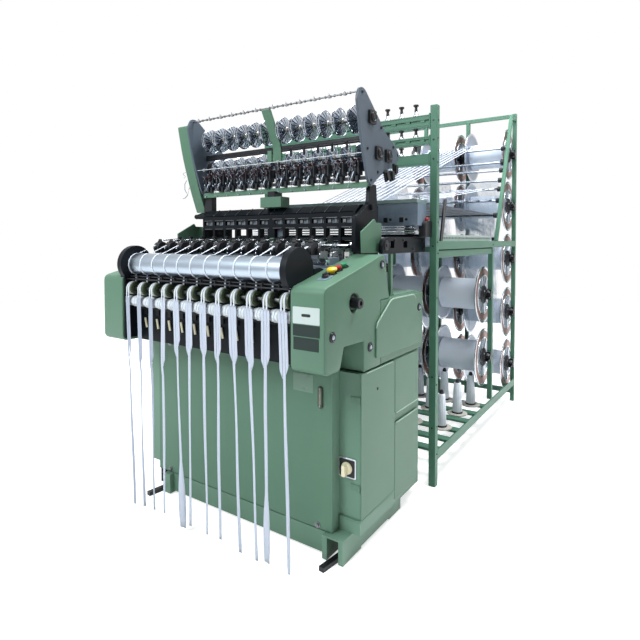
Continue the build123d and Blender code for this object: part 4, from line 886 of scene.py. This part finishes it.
# Weft detectors: dark red and black blocks with bright levers and wires over the green angle
reds, blocks, levers = Form(), Form(), Form()
blocks.box(IN_LEFT, IN_RIGHT, 322, 346, 1520, 1534)
blocks.box(IN_LEFT, IN_RIGHT, 352, 362, 1560, 1604)
for x in WHEEL_X:
    for dx in (-26, 2):
        tall = rng.uniform(0, 6)
        reds.box(x + dx + 1, x + dx + 14, 302, 342, 1572 + tall, 1596 + tall)
        reds.box(x + dx + 12, x + dx + 21, 308, 342, 1600 + tall, 1612 + tall)
        blocks.box(x + dx + 2, x + dx + 13, 304, 350, 1534, 1572)
        blocks.box(x + dx + 13, x + dx + 24, 312, 350, 1546 - tall, 1600)
        blocks.turn((x + dx + 8, 302, 1584 + tall), AHEAD, [(0, 6), (6, 6), (8, 4), (11, 4)], 14)
        blocks.turn((x + dx + 8, 304, 1548), AHEAD, [(0, 8), (6, 8), (8, 5), (10, 5)], 16)
        levers.turn((x + dx + 8, 294, 1548), AHEAD, [(0, 3.2), (3, 3.2), (3.6, 2)], 12)
        levers.turn((x + dx + 17, 308, 1606 + tall), AHEAD, [(0, 2.6), (2, 2.6), (2.6, 1.6)], 10)
        for _ in range(5):
            a = Vector((x + dx + rng.uniform(-2, 22), rng.uniform(288, 302), rng.uniform(1524, 1616)))
            b = a + Vector((rng.uniform(-9, 9), rng.uniform(-6, 4), rng.uniform(8, 20)))
            c = b + Vector((rng.uniform(-9, 9), rng.uniform(-4, 6), rng.uniform(-8, 10)))
            levers.wire([a, b, c], 0.9, 6)
    blocks.plate(x - 8, x + 6, rounded([(296, 1514), (318, 1510), (322, 1542), (300, 1548)], 4))
    blocks.box(x + 10, x + 24, 306, 322, 1508, 1536)
    levers.wire([(x + 12, 292, 1552), (x + 8, 284, 1530), (x - 4, 278, 1500), (x - 10, 280, 1488)], 1.5)
    levers.wire([(x - 18, 300, 1540), (x - 14, 292, 1522), (x - 20, 288, 1508)], 1.1)
    levers.turn((x - 27, 316, 1489), (0, -1, -0.2), [(0, 3.4), (8, 3.4), (9, 2)], 12)
reds.done("detector_blocks", MAROON, bevel=1.5)
blocks.done("detector_bodies", DETECTOR, bevel=1.2, replaces="weft_detectors")
levers.done("detector_levers", FLANGE_GREY, slot="bright_steel")

# Side arms with their windows, round front ends and bolts
RIGHT_BAR, LEFT_BAR = (570, 590), (-620, -600)
black_arms, window_cut = Form(), Form()
for x0, x1 in (RIGHT_BAR, LEFT_BAR):
    black_arms.plate(x0, x1, rounded([
        (300, 1191), (772, 1191), (772, 1265), (360, 1265), (318, 1256), (298, 1234)], [8, 3, 3, 18, 14, 18]))
    for d0 in (372, 510):
        window_cut.plate(x0 - 10, x1 + 10, rect(d0, d0 + 42, 1215, 1247, 4))
black_arms.done("side_arm_bars", BLACK, bevel=2, replaces="side_arms", cut=window_cut)
domes = Form()
for out, face in ((1, RIGHT_BAR[1]), (-1, LEFT_BAR[0])):
    domes.turn((face, 334, 1228), (out, 0, 0), [(0, 22), (3, 22), (5, 19), (5, 9), (8, 8), (8, 1)], 36)
    for d, z in ((420, 1250), (510, 1250), (620, 1208), (740, 1208), (740, 1250)):
        domes.screw((face, d, z), (out, 0, 0), 6, 4)
domes.done("side_arm_domes", BLACK_STEEL)

# Warp stop box: grey case with a row of slots, a lid, rods below and its feet
CASE_LEFT, CASE_RIGHT, CASE_TOP = -475, 604, 1432
SLOT_PITCH = 86
case, dark_slots, feet = Form(), Form(), Form()
case.box(CASE_LEFT, CASE_RIGHT, 641, 750, 1322, CASE_TOP)
for i in range(12):
    x = CASE_LEFT + 29 + i * SLOT_PITCH
    case.box(x, x + 62, 638.5, 641, 1334, 1372)
    dark_slots.box(x + 8, x + 30, 637.6, 639, 1338, 1362)
    dark_slots.turn((x + 46, 638.5, 1352), AHEAD, [(0, 7), (2, 7), (3, 5), (3, 2)], 16)
Form().box(-215, CASE_RIGHT, 632, 752, CASE_TOP + 0.3, 1450).done("stop_box_lid", LID, bevel=1.5)
case.done("stop_box_case", STOP_GREY, bevel=1.5, replaces="warp_stop_box")
dark_slots.done("stop_box_slots", BLACK_STEEL)
for x in (-415, 525):
    feet.box(x - 14, x + 14, 690, 750, 1280.3, 1321.7)
feet.box(-620, 578, 710, 750, 1266, 1280)
rods = Form()
for d, z in ((650, 1312), (668, 1300), (654, 1286)):
    rods.rod((-470, d, z), (585, d, z), 4.5, 16)
rods.done("stop_box_rods", CHROME)
feet.done("stop_box_feet", BLACK, bevel=1.5)

# Stop control box: a rounded black case with a red button
box_hole = Form().turn((606, 742, 1331), UPWARD, [(0, 10.3), (30, 10.3)], 32)
Form().plate(588, 624, rounded([
    (690, 1266), (690, 1332), (706, 1345), (772, 1345), (772, 1266)], [3, 8, 8, 3, 3])).done(
    "control_case", BLACK_PLASTIC, bevel=4, segments=3, replaces="stop_control_box", cut=box_hole)
stop = Form().turn((606, 742, 1335), UPWARD, [
    (0, 10), (14, 10), (15, 13), (17, 15), (24, 15), (27, 13), (28, 8), (28, 1)], 32)
stop.done("stop_control_cap", RED_PLASTIC, "stop_control_button", "stop_control_button")

# Creel: posts with small dark bolts, slotted gate rails, angle rails and slanted bars
POST_X = [630.0, 270.0, -90.0, -450.0]
RIGHT_POST, LEFT_POST = POST_X[0], POST_X[-1]
BAY_X = [450.0, 90.0, -270.0]
GATE, FRONT_ROW, REAR_ROW = 790, 1810, 2440
RAIL_START, RAIL_END = GATE + 18, REAR_ROW - 14
posts, post_bolts = Form(), Form()
for x in (RIGHT_POST, LEFT_POST):
    posts.box(x - 18, x + 18, GATE - 18, GATE + 18, 0, 1925)
for x in POST_X:
    outer = x in (RIGHT_POST, LEFT_POST)
    posts.box(x - 15, x + 15, FRONT_ROW - 15, FRONT_ROW + 15, 180 if outer else 0, 1203)
    posts.box(x - 14, x + 14, REAR_ROW - 14, REAR_ROW + 14, 0, 2220 if outer else 2190)
posts.done("creel_post_tubes", CREEL_PAINT, bevel=2.2, segments=3, replaces="creel_posts")
for out, x in ((1, RIGHT_POST + 18), (-1, LEFT_POST - 18)):
    for z in (164, 305, 520, 960, 1184, 1240, 1340, 1640, 1700, 1760, 1850):
        post_bolts.turn((x, GATE + (4 if z % 40 else -4), z), (out, 0, 0), [
            (0, 4.5), (1.5, 4.5), (2.5, 3.2), (3.5, 2)], 12)
    for z in (1180, 1220, 168, 900, 470):
        post_bolts.turn((x - out * 3, FRONT_ROW, z), (out, 0, 0), [(0, 4.5), (2, 4.5), (3, 3)], 12)
for x in (RIGHT_POST, LEFT_POST):
    for z in (1848, 1752, 1656, 1220, 300, 560):
        post_bolts.turn((x, GATE - 18, z), AHEAD, [(0, 4.5), (1.5, 4.5), (2.5, 3)], 12)
post_bolts.done("creel_bolts", BLACK_STEEL)

KNOB_PITCH = 80
KNOB_X = [90.0 + (i - 5.5) * KNOB_PITCH for i in range(12)]
GATE_RAILS = ((1817, 1880), (1732, 1772), (1629, 1684))
rails, ends_form = Form(), Form()
GATE_LEFT, GATE_RIGHT = LEFT_POST + 18, RIGHT_POST - 18
for z0, z1 in GATE_RAILS:
    rails.box(GATE_LEFT, GATE_RIGHT, GATE - 10, GATE - 6, z0 + 7, z1 - 7)
    rails.box(GATE_LEFT, GATE_RIGHT, GATE - 18, GATE + 14, z1 - 7, z1)
    rails.box(GATE_LEFT, GATE_RIGHT, GATE - 18, GATE + 14, z0, z0 + 7)
    middle = (z0 + z1) / 2
    if (z0, z1) != GATE_RAILS[-1]:
        rails.box(GATE_LEFT, GATE_RIGHT, GATE - 18, GATE - 12, middle + 6, z1 - 7)
        rails.box(GATE_LEFT, GATE_RIGHT, GATE - 18, GATE - 12, z0 + 7, middle - 6)
        for i in range(13):
            x = KNOB_X[0] + (i - 0.5) * KNOB_PITCH
            x0, x1 = max(x - 12, GATE_LEFT), min(x + 12, GATE_RIGHT)
            rails.box(x0, x1, GATE - 18, GATE - 12, middle - 6, middle + 6)
    else:
        rails.box(GATE_LEFT, GATE_RIGHT, GATE - 18, GATE - 12, z0 + 7, z1 - 7)
rails.box(LEFT_POST + 14, RIGHT_POST - 14, REAR_ROW - 12, REAR_ROW + 12, 2190, 2218)
for i in range(3):
    x0, x1 = POST_X[i + 1], POST_X[i]
    rails.box(x0 + 14, x1 - 14, REAR_ROW - 12, REAR_ROW + 12, 60, 96)
    rails.box(x0 + 15, x1 - 15, FRONT_ROW - 10, FRONT_ROW + 10, 1166, 1203)
SLANT_LOW, SLANT_HIGH = (1942, 1250), (2338, 2190)
for x, out in ((RIGHT_POST, 1), (LEFT_POST, -1)):
    edge, lip, inside = x + out * 18, x + out * 13, x - out * 32
    rails.box(*sorted((edge, lip)), RAIL_START, RAIL_END, 130, 180)
    rails.box(*sorted((lip, inside)), RAIL_START, RAIL_END, 130, 135)
    rails.box(x - 15, x + 15, RAIL_START, RAIL_END, 1203, 1245)
    rails.box(x - 10, x + 10, RAIL_START, FRONT_ROW - 15, 1160, 1196)
    rails.bar((x, SLANT_LOW[0] - 3, SLANT_LOW[1] - 6), (x, *SLANT_HIGH), 24, 24, up=(0, 1, 0.4))
    rails.box(x - 12, x + 12, 2340, RAIL_END, 2162, 2190)
    for z0, z1 in GATE_RAILS:
        x0, x1 = sorted((x - out * 18, x - out * 24))
        ends_form.box(x0, x1, GATE - 22, GATE + 18, z0 - 8, z1 + 6)
rails.done("creel_rail_bars", CREEL_PAINT, bevel=1.6, replaces="creel_rails")
ends_form.done("creel_rail_ends", CREEL_PAINT, bevel=1.5)

slats = Form()
for d in (900, 1060, 1220, 1400, 1560, 1740):
    slats.box(LEFT_POST - 12.5, RIGHT_POST + 12.5, d - 30, d + 30, 135.5, 150)
slats.done("creel_slat_boards", CREEL_PAINT, bevel=2.5, segments=3, replaces="creel_slats")

# Tension knobs: waisted black heads on bright cones
stems, heads = Form(), Form()
for (_, rail_top), tall in zip(GATE_RAILS, (60, 43, 43)):
    for x in KNOB_X:
        stems.turn((x, 786, rail_top), UPWARD, [
            (0, 17), (2.5, 17), (5, 15), (tall * 0.4, 8), (tall * 0.45, 6), (tall * 0.5, 6)], 22)
        heads.turn((x, 786, rail_top + tall * 0.4), UPWARD, [
            (0, 5), (0, 8.5), (tall * 0.12, 8), (tall * 0.3, 6.5), (tall * 0.42, 8), (tall * 0.47, 13.5),
            (tall * 0.58, 13.5), (tall * 0.6, 12), (tall * 0.6, 4)], 22)
heads.done("knob_heads", BLACK_PLASTIC, replaces="tension_knobs")
stems.done("knob_cones", CHROME)

# Guide rods, comb strips and the rods' black bearings
GUIDES = ((2188, 1922), (2181, 1820), (2147, 1758), (2117, 1683), (2097, 1618), (2065, 1533), (2003, 1425))
GUIDE_LEFT, GUIDE_RIGHT = -414, 594
guide_rods = Form()
for d, z in GUIDES:
    guide_rods.rod((GUIDE_LEFT, d, z), (GUIDE_RIGHT, d, z), 9, 24)
guide_rods.done("guide_rod_bars", ROD_STEEL, replaces="warp_guide_rods")
combs, comb_holes = Form(), Form()
for x in (LEFT_POST + 8, RIGHT_POST - 12):
    combs.box(x, x + 3, 900, 1825, 1245, 1279)
    for k in range(38):
        comb_holes.rod((x - 0.4, 914 + k * 24, 1262), (x + 3.4, 914 + k * 24, 1262), 6.5, 14)
combs.done("comb_strips", COMB, bevel=0.5)
comb_holes.done("comb_holes", BLACK_PLASTIC)
brackets, joints = Form(), Form()
FRONT_SHAFT, REAR_SHAFT = 1765, 2390
SHAFTS = [(FRONT_SHAFT, z) for z in (468, 888)] + [(REAR_SHAFT, z) for z in (300, 700, 1110, 1510, 1905)]
for x0, x1 in ((LEFT_POST + 12, GUIDE_LEFT), (GUIDE_RIGHT, RIGHT_POST - 12)):
    for n, (d, z) in enumerate(GUIDES):
        big = 24 if n == 1 else 18
        long = x1 - x0
        brackets.turn((x0, d, z), ACROSS, [
            (0, 9), (0, big - 2), (2, big), (long - 4, big), (long, big - 3), (long, 9)], 32)
        share = (z - SLANT_LOW[1]) / (SLANT_HIGH[1] - SLANT_LOW[1])
        slant = SLANT_LOW[0] + share * (SLANT_HIGH[0] - SLANT_LOW[0])
        brackets.box(x0, x1, min(d, slant) - 4, max(d, slant) + 4, z - 8, z + 8)
for x in (LEFT_POST - 8, RIGHT_POST):
    brackets.plate(x, x + 8, rounded([
        (856, 1245.5), (888, 1245.5), (946, 1448), (942, 1466), (920, 1468), (912, 1456),
    ], [3, 3, 6, 9, 9, 6]))
for x in POST_X:
    for d, z in SHAFTS:
        rear = FRONT_ROW - 15 if d == FRONT_SHAFT else RAIL_END
        brackets.box(x - 14, x + 14, d + 12.8, rear, z - 34, z + 34)
        brackets.plate(x - 10, x + 10, rounded([
            (d - 20, z - 26), (d + 14, z - 26), (d + 14, z - 12.8), (d - 20, z - 16)], 3))
        joints.box(x - 9, x + 9, d - 22, d + 10, z + 13.2, z + 22)
        joints.turn((x, d - 12, z + 22), UPWARD, [(0, 7), (7, 7), (8, 5)], 6)
for x in (RIGHT_POST - 20, LEFT_POST + 20):
    brackets.box(x - 12, x + 12, GATE + 19, GATE + 46, 1202, 1232)
    brackets.box(x - 8, x + 8, 1926, 1958, 1246, 1270)
brackets.done("creel_bearings", BLACK_STEEL, slot="black_plastic", bevel=1.5, replaces="creel_brackets")
joints.done("bearing_clamps", DARK_STEEL, bevel=1)

# Warp beams: pressed flanges with copper rims and bright ribs, collars and wound yarn
BEAM_LENGTH = 270.0
ROWS = ["front_beams_%d" % n for n in (1, 2)] + ["rear_beams_%d" % n for n in range(1, 6)]
YARN_RADII = (104, 104, 92, 96, 90, 88, 94)
for row, (depth, height), yarn in zip(ROWS, SHAFTS, YARN_RADII):
    flanges, copper, bright, winding, collars = Form(), Form(), Form(), Form(), Form()
    for x in BAY_X:
        for side in (-1, 1):
            edge = (x + side * (BEAM_LENGTH / 2 - 8) + (16 if side > 0 else 0), depth, height)
            flanges.turn(edge, (side, 0, 0), [
                (0, 40), (0, 174), (1.5, 175), (3, 173), (2.5, 60), (3, 40)], 72, loop=True)
            copper.turn(edge, (side, 0, 0), [
                (3, 134), (3, 171), (5.5, 172), (6.5, 167), (4.2, 156), (6, 142), (5, 134)], 72, loop=True)
            bright.turn(edge, (side, 0, 0), [
                (0, 174.5), (0, 187), (1.5, 190), (6.5, 190), (8, 187.5), (8, 178), (5, 174.5),
            ], 72, loop=True)
            bright.turn(edge, (side, 0, 0), [
                (3, 125), (3, 134), (7, 133), (7.5, 129), (7, 126)], 60, loop=True)
            for i in range(8):
                a = math.pi / 4 * i + 0.2
                c, w = math.cos(a), math.sin(a)
                xf = edge[0] + side * 5
                bright.bar((xf, depth + c * 46, height + w * 46), (xf, depth + c * 131, height + w * 131),
                           16, 4, up=ACROSS)
            collars.turn(edge, (side, 0, 0), [
                (0, 14), (2, 62), (8, 62), (14, 54), (15, 36), (22, 34), (24, 28), (24, 14)], 48)
            for i in range(4):
                a = math.pi / 2 * i + 0.6
                head = (edge[0] + side * 9, depth + 45 * math.cos(a), height + 45 * math.sin(a))
                collars.turn(head, (side, 0, 0), [(0, 5), (5, 5), (6, 3)], 6)
        profile = [(0, 30), (0, yarn - 3)]
        steps = 18
        length = BEAM_LENGTH - 1
        for i in range(steps + 1):
            profile.append((0.5 + i * (length - 1) / steps, yarn + rng.uniform(-0.6, 0.6)))
        profile += [(length, yarn - 3), (length, 30)]
        winding.turn((x - length / 2 + 8, depth, height), ACROSS, profile, 80)
    for x in POST_X[1:]:
        collars.turn((x + 16, depth, height), ACROSS, [(0, 13), (0, 22), (9, 22), (9, 13)], 28)
    collars.rod((-470, depth, height), (648, depth, height), 12.5, 24)
    flanges.done(row + "_flanges", FLANGE_GREY, row, row)
    copper.done(row + "_rims", COPPER, row)
    bright.done(row + "_ribs", CHROME, row, slot="brushed_aluminium", bevel=0.8)
    collars.done(row + "_collars", BLACK_STEEL, row)
    winding.done(row + "_yarn", BEAM_YARN, row)

# Yarn cones on their discs
DISC_LOW = 150
cones, caps, discs, base_bands = Form(), Form(), Form(), Form()
for i in range(6):
    for depth, shift in ((1200, 0), (1480, 0), (1700, 15)):
        x = 520 - i * 180 + shift
        discs.turn((x, depth, DISC_LOW), UPWARD, [(0, 40), (0, 60), (2, 62), (5, 62), (7.5, 60), (8, 20)], 48)
        base_bands.turn((x, depth, DISC_LOW + 8), UPWARD, [(0, 20), (0, 33), (4, 33.5), (9, 31), (9, 20)], 32)
        cones.turn((x, depth, DISC_LOW + 13), UPWARD, [
            (0, 20), (0, 29.5), (6, 30), (60, 27.6), (120, 25.0), (180, 22.4), (186, 20), (186, 10)], 36)
        caps.turn((x, depth, DISC_LOW + 198), UPWARD, [
            (0, 12), (0, 13), (10, 14), (12, 12), (20, 10), (24, 6), (24, 2)], 24)
cones.done("cone_yarn", CONE_YARN, replaces="yarn_cones")
caps.done("cone_caps", BLACK_PLASTIC)
discs.done("cone_discs", DISC)
base_bands.done("cone_bands", BLACK_PLASTIC)


# Soft pieces: ribbons that follow a path
def ribbon(form, path, width, turns=None, fold=0.0):
    """Band along (x, depth, height) points; turns swings it about Z, and fold sets its middle back."""
    rows = []
    for i, p in enumerate(path):
        w = width[i] if isinstance(width, (list, tuple)) else width
        lean = turns[i] if turns else 0.0
        side = Vector((math.cos(lean), math.sin(lean), 0)) * w * MM / 2
        c = spot(*p)
        middle = c + Vector((0, fold * MM, 0))
        rows.append([form.bm.verts.new(c - side), form.bm.verts.new(middle), form.bm.verts.new(c + side)])
    for a, b in zip(rows, rows[1:]):
        for k in range(2):
            form.bm.faces.new((a[k], a[k + 1], b[k + 1], b[k]))
    return form


def soft(form, name, look, thickness, slot=None):
    """The finished ribbon, with its own thickness."""
    piece = form.done(name, look, slot=slot)
    skin = piece.modifiers.new("skin", "SOLIDIFY")
    skin.thickness = thickness * MM
    skin.offset = 0
    return piece


def flat_area(path, widths):
    """Area of a ribbon of changing width laid flat, in square metres."""
    steps = zip(path, path[1:], widths, widths[1:])
    return sum((spot(*p) - spot(*q)).length * (v + w) / 2 * MM for p, q, v, w in steps)


def arc(middle, radius, start, end, steps):
    """(depth, height) points on an arc, angles in degrees from the rear."""
    turns = [math.radians(start + (end - start) * i / steps) for i in range(steps + 1)]
    return [(middle[0] + radius * math.cos(a), middle[1] + radius * math.sin(a)) for a in turns]


def between(a, b, steps):
    """Places on the straight line from a to b, with both ends."""
    return [tuple(p + (q - p) * (i / steps) for p, q in zip(a, b)) for i in range(steps + 1)]


# Woven tapes: two strips from each head over roller and pulley, then two or three bands that hang down in
# darker copies of the tape colour, as painted shade.
# Each tape has its tail's height above the floor and its drift to the side.
TAILS = [26, 36, 40, 45, 20, 42, 38, 43, 28, 26, 36, 30]
DRIFTS = [37, 25, 9, -6, 38, 0, 14, 10, 37, 34, 8, 29]
BAND_TOP, FULL_FALL = 990, 940
JOINED_BELOW, SWOLLEN_BELOW = 660, 300
TAIL_WIDTH = 13.5
WIND = arc(ROLLER, 51, 80, 258, 18)
OVER = arc(PULLEY, 31.2, 68, 182, 12)
for n, x in enumerate(HEAD_X):
    for k, side in enumerate((-1, 1)):
        path = [(x + side * 3.0, -45, 1226), (x + side * 2.6, -85, 1209)]
        path += [(x + side * 1.9, d, z) for d, z in WIND]
        path += [(x + side * (1.9 + 5.6 * i / 12), d, z) for i, (d, z) in enumerate(OVER)]
        path += [(x + side * 7.5, -201.4, 1005), (x + side * 7.5, -201.6, 985)]
        run = ribbon(Form(), path, [4.0] * 2 + [3.6] * 19 + [7.0] * 15)
        soft(run, "tape_run_%d_%d" % (n + 1, k + 1), TAPE, 1.0)
    drift = rng.uniform(-7, 7) + DRIFTS[n]
    two = n < 4
    step = 14.2 if two or n > 7 else 12.9
    strip = step - 1.1
    short, loose, narrow_below = (715, 30, 690) if two else (800, 55, 770)
    for k, side in enumerate((0, 1) if two else (0, -1, 1)):
        low = TAILS[n] if side == 0 else short - rng.uniform(0, loose)
        path, widths, lean = [], [], []
        count = 34 if side == 0 else 20
        for i in range(count + 1):
            z = BAND_TOP - (BAND_TOP - low) * i / count
            fall = (BAND_TOP - z) / FULL_FALL
            pull = 0.0 if side == 0 else max(0.0, 1 - (z - low) / 28)
            offset = side * (step - 6 * pull)
            if two:
                offset -= step / 2 * min(1.0, max(0.0, (z - JOINED_BELOW) / 40))
            path.append((x + offset + drift * fall + 1.2 * math.sin(z / 90 + n),
                         -202.6 - 0.5 * abs(side) + 0.8 * math.sin(z / 130 + 2 * n), z))
            if side:
                widths.append(strip * (1 - 0.9 * pull))
            elif n in (4, 10) and z < SWOLLEN_BELOW:
                share = (SWOLLEN_BELOW - z) / (SWOLLEN_BELOW - low + 90)
                widths.append(TAIL_WIDTH + 24 * math.sin(math.pi * share))
            else:
                widths.append(TAIL_WIDTH if z < narrow_below else strip)
            lean.append((0.05 if z > 760 else 0.22) * math.sin(z / 160 + n * 1.7))
        # Hanging bands in painted shade: darker copies of the white tape, darkest on the first three
        piece = soft(ribbon(Form(), path, widths, lean, 2.2), "tape_band_%d_%d" % (n + 1, k + 1),
                     TAPE_SHADED if n < 3 else TAPE_HALF_SHADE, 1.0)
        flat_area(path, widths)
        if n == 0 and k == 0:
            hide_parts("woven_tapes")

# Warp yarn: three flat bands for each head from the guide rods to the stop box, and a dark strip below them
# that is painted shade between the bands
WARP_CENTRE, WARP_PITCH = 90, 84
BAND_WIDTH, SHADE_WIDTH = 22, 81
for n in range(HEADS):
    middle = WARP_CENTRE + (n - 5.5) * WARP_PITCH
    for k, (rod_depth, rod_z) in enumerate(GUIDES[:3:-1]):
        x = middle + (k - 1) * 27.5
        path = [(x, 690, 1441.6 + k * 0.4)] + between((x, 720, 1442), (x, rod_depth, rod_z + 10), 8)[1:]
        band = ribbon(Form(), path, BAND_WIDTH)
        piece = soft(band, "warp_band_%d_%d" % (n + 1, k + 1), BEAM_YARN, 0.6)
        if n == 0 and k == 0:
            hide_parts("warp_yarns")
    path = [(middle, 700, 1440.8)] + between((middle, 720, 1441), (middle, 2003, 1431), 8)[1:]
    piece = soft(ribbon(Form(), path, SHADE_WIDTH), "warp_shade_%d" % (n + 1), PAINTED_SHADE_YARN, 0.5)

# Strips that rise from the stop box to the creel's top: pale strips in a shaded tape colour and dark strips
# of painted shade, by turns
RISE = [(690, 1451), (760, 1458), (1300, 1640), (1800, 1806), (2188, 1932), (2376, 1997)]
STRIPS = 10
for name, look, shift, drop, wide in (
        ("strips", TAPE_HALF_SHADE, 20, 2, 13), ("shades", PAINTED_SHADE_YARN, 0, 0, 10)):
    form = Form()
    for n in range(STRIPS):
        ribbon(form, [(-36 + n * 40 + shift, d, z - drop) for d, z in RISE], wide)
    piece = soft(form, "rising_" + name, look, 0.6, "white_yarn")

# Thread sheets from each rear beam up to a guide rod, with some single threads in front
for row, guide in enumerate((6, 6, 5, 3, 0)):
    shaft, yarn = SHAFTS[row + 2], YARN_RADII[row + 2]
    for bay, x in enumerate(BAY_X):
        label = "%d_%d" % (row + 1, bay + 1)
        start = (shaft[0] - yarn * 0.92, shaft[1] + yarn * 0.45)
        goal = (GUIDES[guide][0] + 9.6, GUIDES[guide][1])
        path = between((x, *start), (x, *goal), 8)
        widths = [200 + 90 * i / 8 for i in range(9)]
        piece = soft(ribbon(Form(), path, widths), "thread_sheet_" + label, THREADS, 0.5)
        flat_area(path, widths)
        single = Form()
        for k in range(9):
            along = -1 + k / 4 + rng.uniform(-0.08, 0.08)
            sag = rng.uniform(4, 26)
            line = []
            for i, (_, d, z) in enumerate(path):
                t = i / 8
                line.append((x + along * (100 + 45 * t), d, z - sag * 4 * t * (1 - t)))
            single.wire(line, 0.7, 4)
        single.done("threads_" + label, SINGLE_THREAD)

# Camera and light
camera_data = bpy.data.cameras.new("camera")
camera = bpy.data.objects.new("camera", camera_data)
bpy.context.scene.collection.objects.link(camera)
camera.location = spot(1576, -1637, 1250)
camera.rotation_euler = (math.radians(88.5), 0, math.radians(34.06))
camera_data.lens = 28.37
camera_data.sensor_width = 36
camera_data.shift_y = -0.104
camera_data.clip_end = 100
bpy.context.scene.camera = camera


def lamp(name, place, aim, energy, size, tint=(1, 1, 1)):
    """Round soft lamp at a place in metres, turned to what it lights."""
    data = bpy.data.lights.new(name, "AREA")
    data.energy = energy
    data.color = tint
    data.shape = "DISK"
    data.size = size
    made = bpy.data.objects.new(name, data)
    bpy.context.scene.collection.objects.link(made)
    made.location = place
    made.rotation_euler = (Vector(aim) - Vector(place)).to_track_quat("-Z", "Y").to_euler()


lamp("key", (-1.5, -5.5, 4.6), (0, -0.5, 0.9), 350, 3.2, (0.9, 0.97, 1.0))
lamp("side", (5.5, -1.8, 3.0), (0.4, -0.2, 0.9), 22, 3.0)
lamp("creel", (1.5, 0.3, 5.3), (0.3, 0.9, 0.6), 270, 2.6, (0.92, 0.97, 1.0))
lamp("top", (0.3, 0.5, 5.5), (0, 0.2, 0.5), 150, 4.0)
lamp("rear", (-2.5, 5.0, 3.5), (0, 0.8, 1.0), 90, 3.0)


def seen_ray(tree):
    """1 for a camera, glossy or transmission ray, otherwise 0."""
    path = node(tree, "ShaderNodeLightPath", {}).outputs
    direct = calc(tree, "MAXIMUM", path["Is Camera Ray"], path["Is Glossy Ray"])
    return calc(tree, "MAXIMUM", direct, path["Is Transmission Ray"])


# The world is white where it is seen and mirrored, and weaker as a light
world = bpy.data.worlds.new("studio")
bpy.context.scene.world = world
world.use_nodes = True
tree = world.node_tree
give(tree.nodes["Background"], {"Color": (1, 1, 1, 1), "Strength": span(tree, seen_ray(tree), 0.28, 1.0)})

floor_data = bpy.data.meshes.new("floor")
floor_data.from_pydata([(-9, -9, 0), (9, -9, 0), (9, 9, 0), (-9, 9, 0)], [], [(0, 1, 2, 3)])
floor = bpy.data.objects.new("floor", floor_data)
bpy.context.scene.collection.objects.link(floor)
floor_material, tree, shader = new_material("floor")
give(shader, {
    "Base Color": (0.86, 0.86, 0.86, 1), "Roughness": 0.9, "Emission Color": (1, 1, 1, 1),
    "Emission Strength": calc(tree, "MULTIPLY", seen_ray(tree), 0.65)})
floor_data.materials.append(floor_material)

bpy.context.scene.view_settings.view_transform = "Standard"
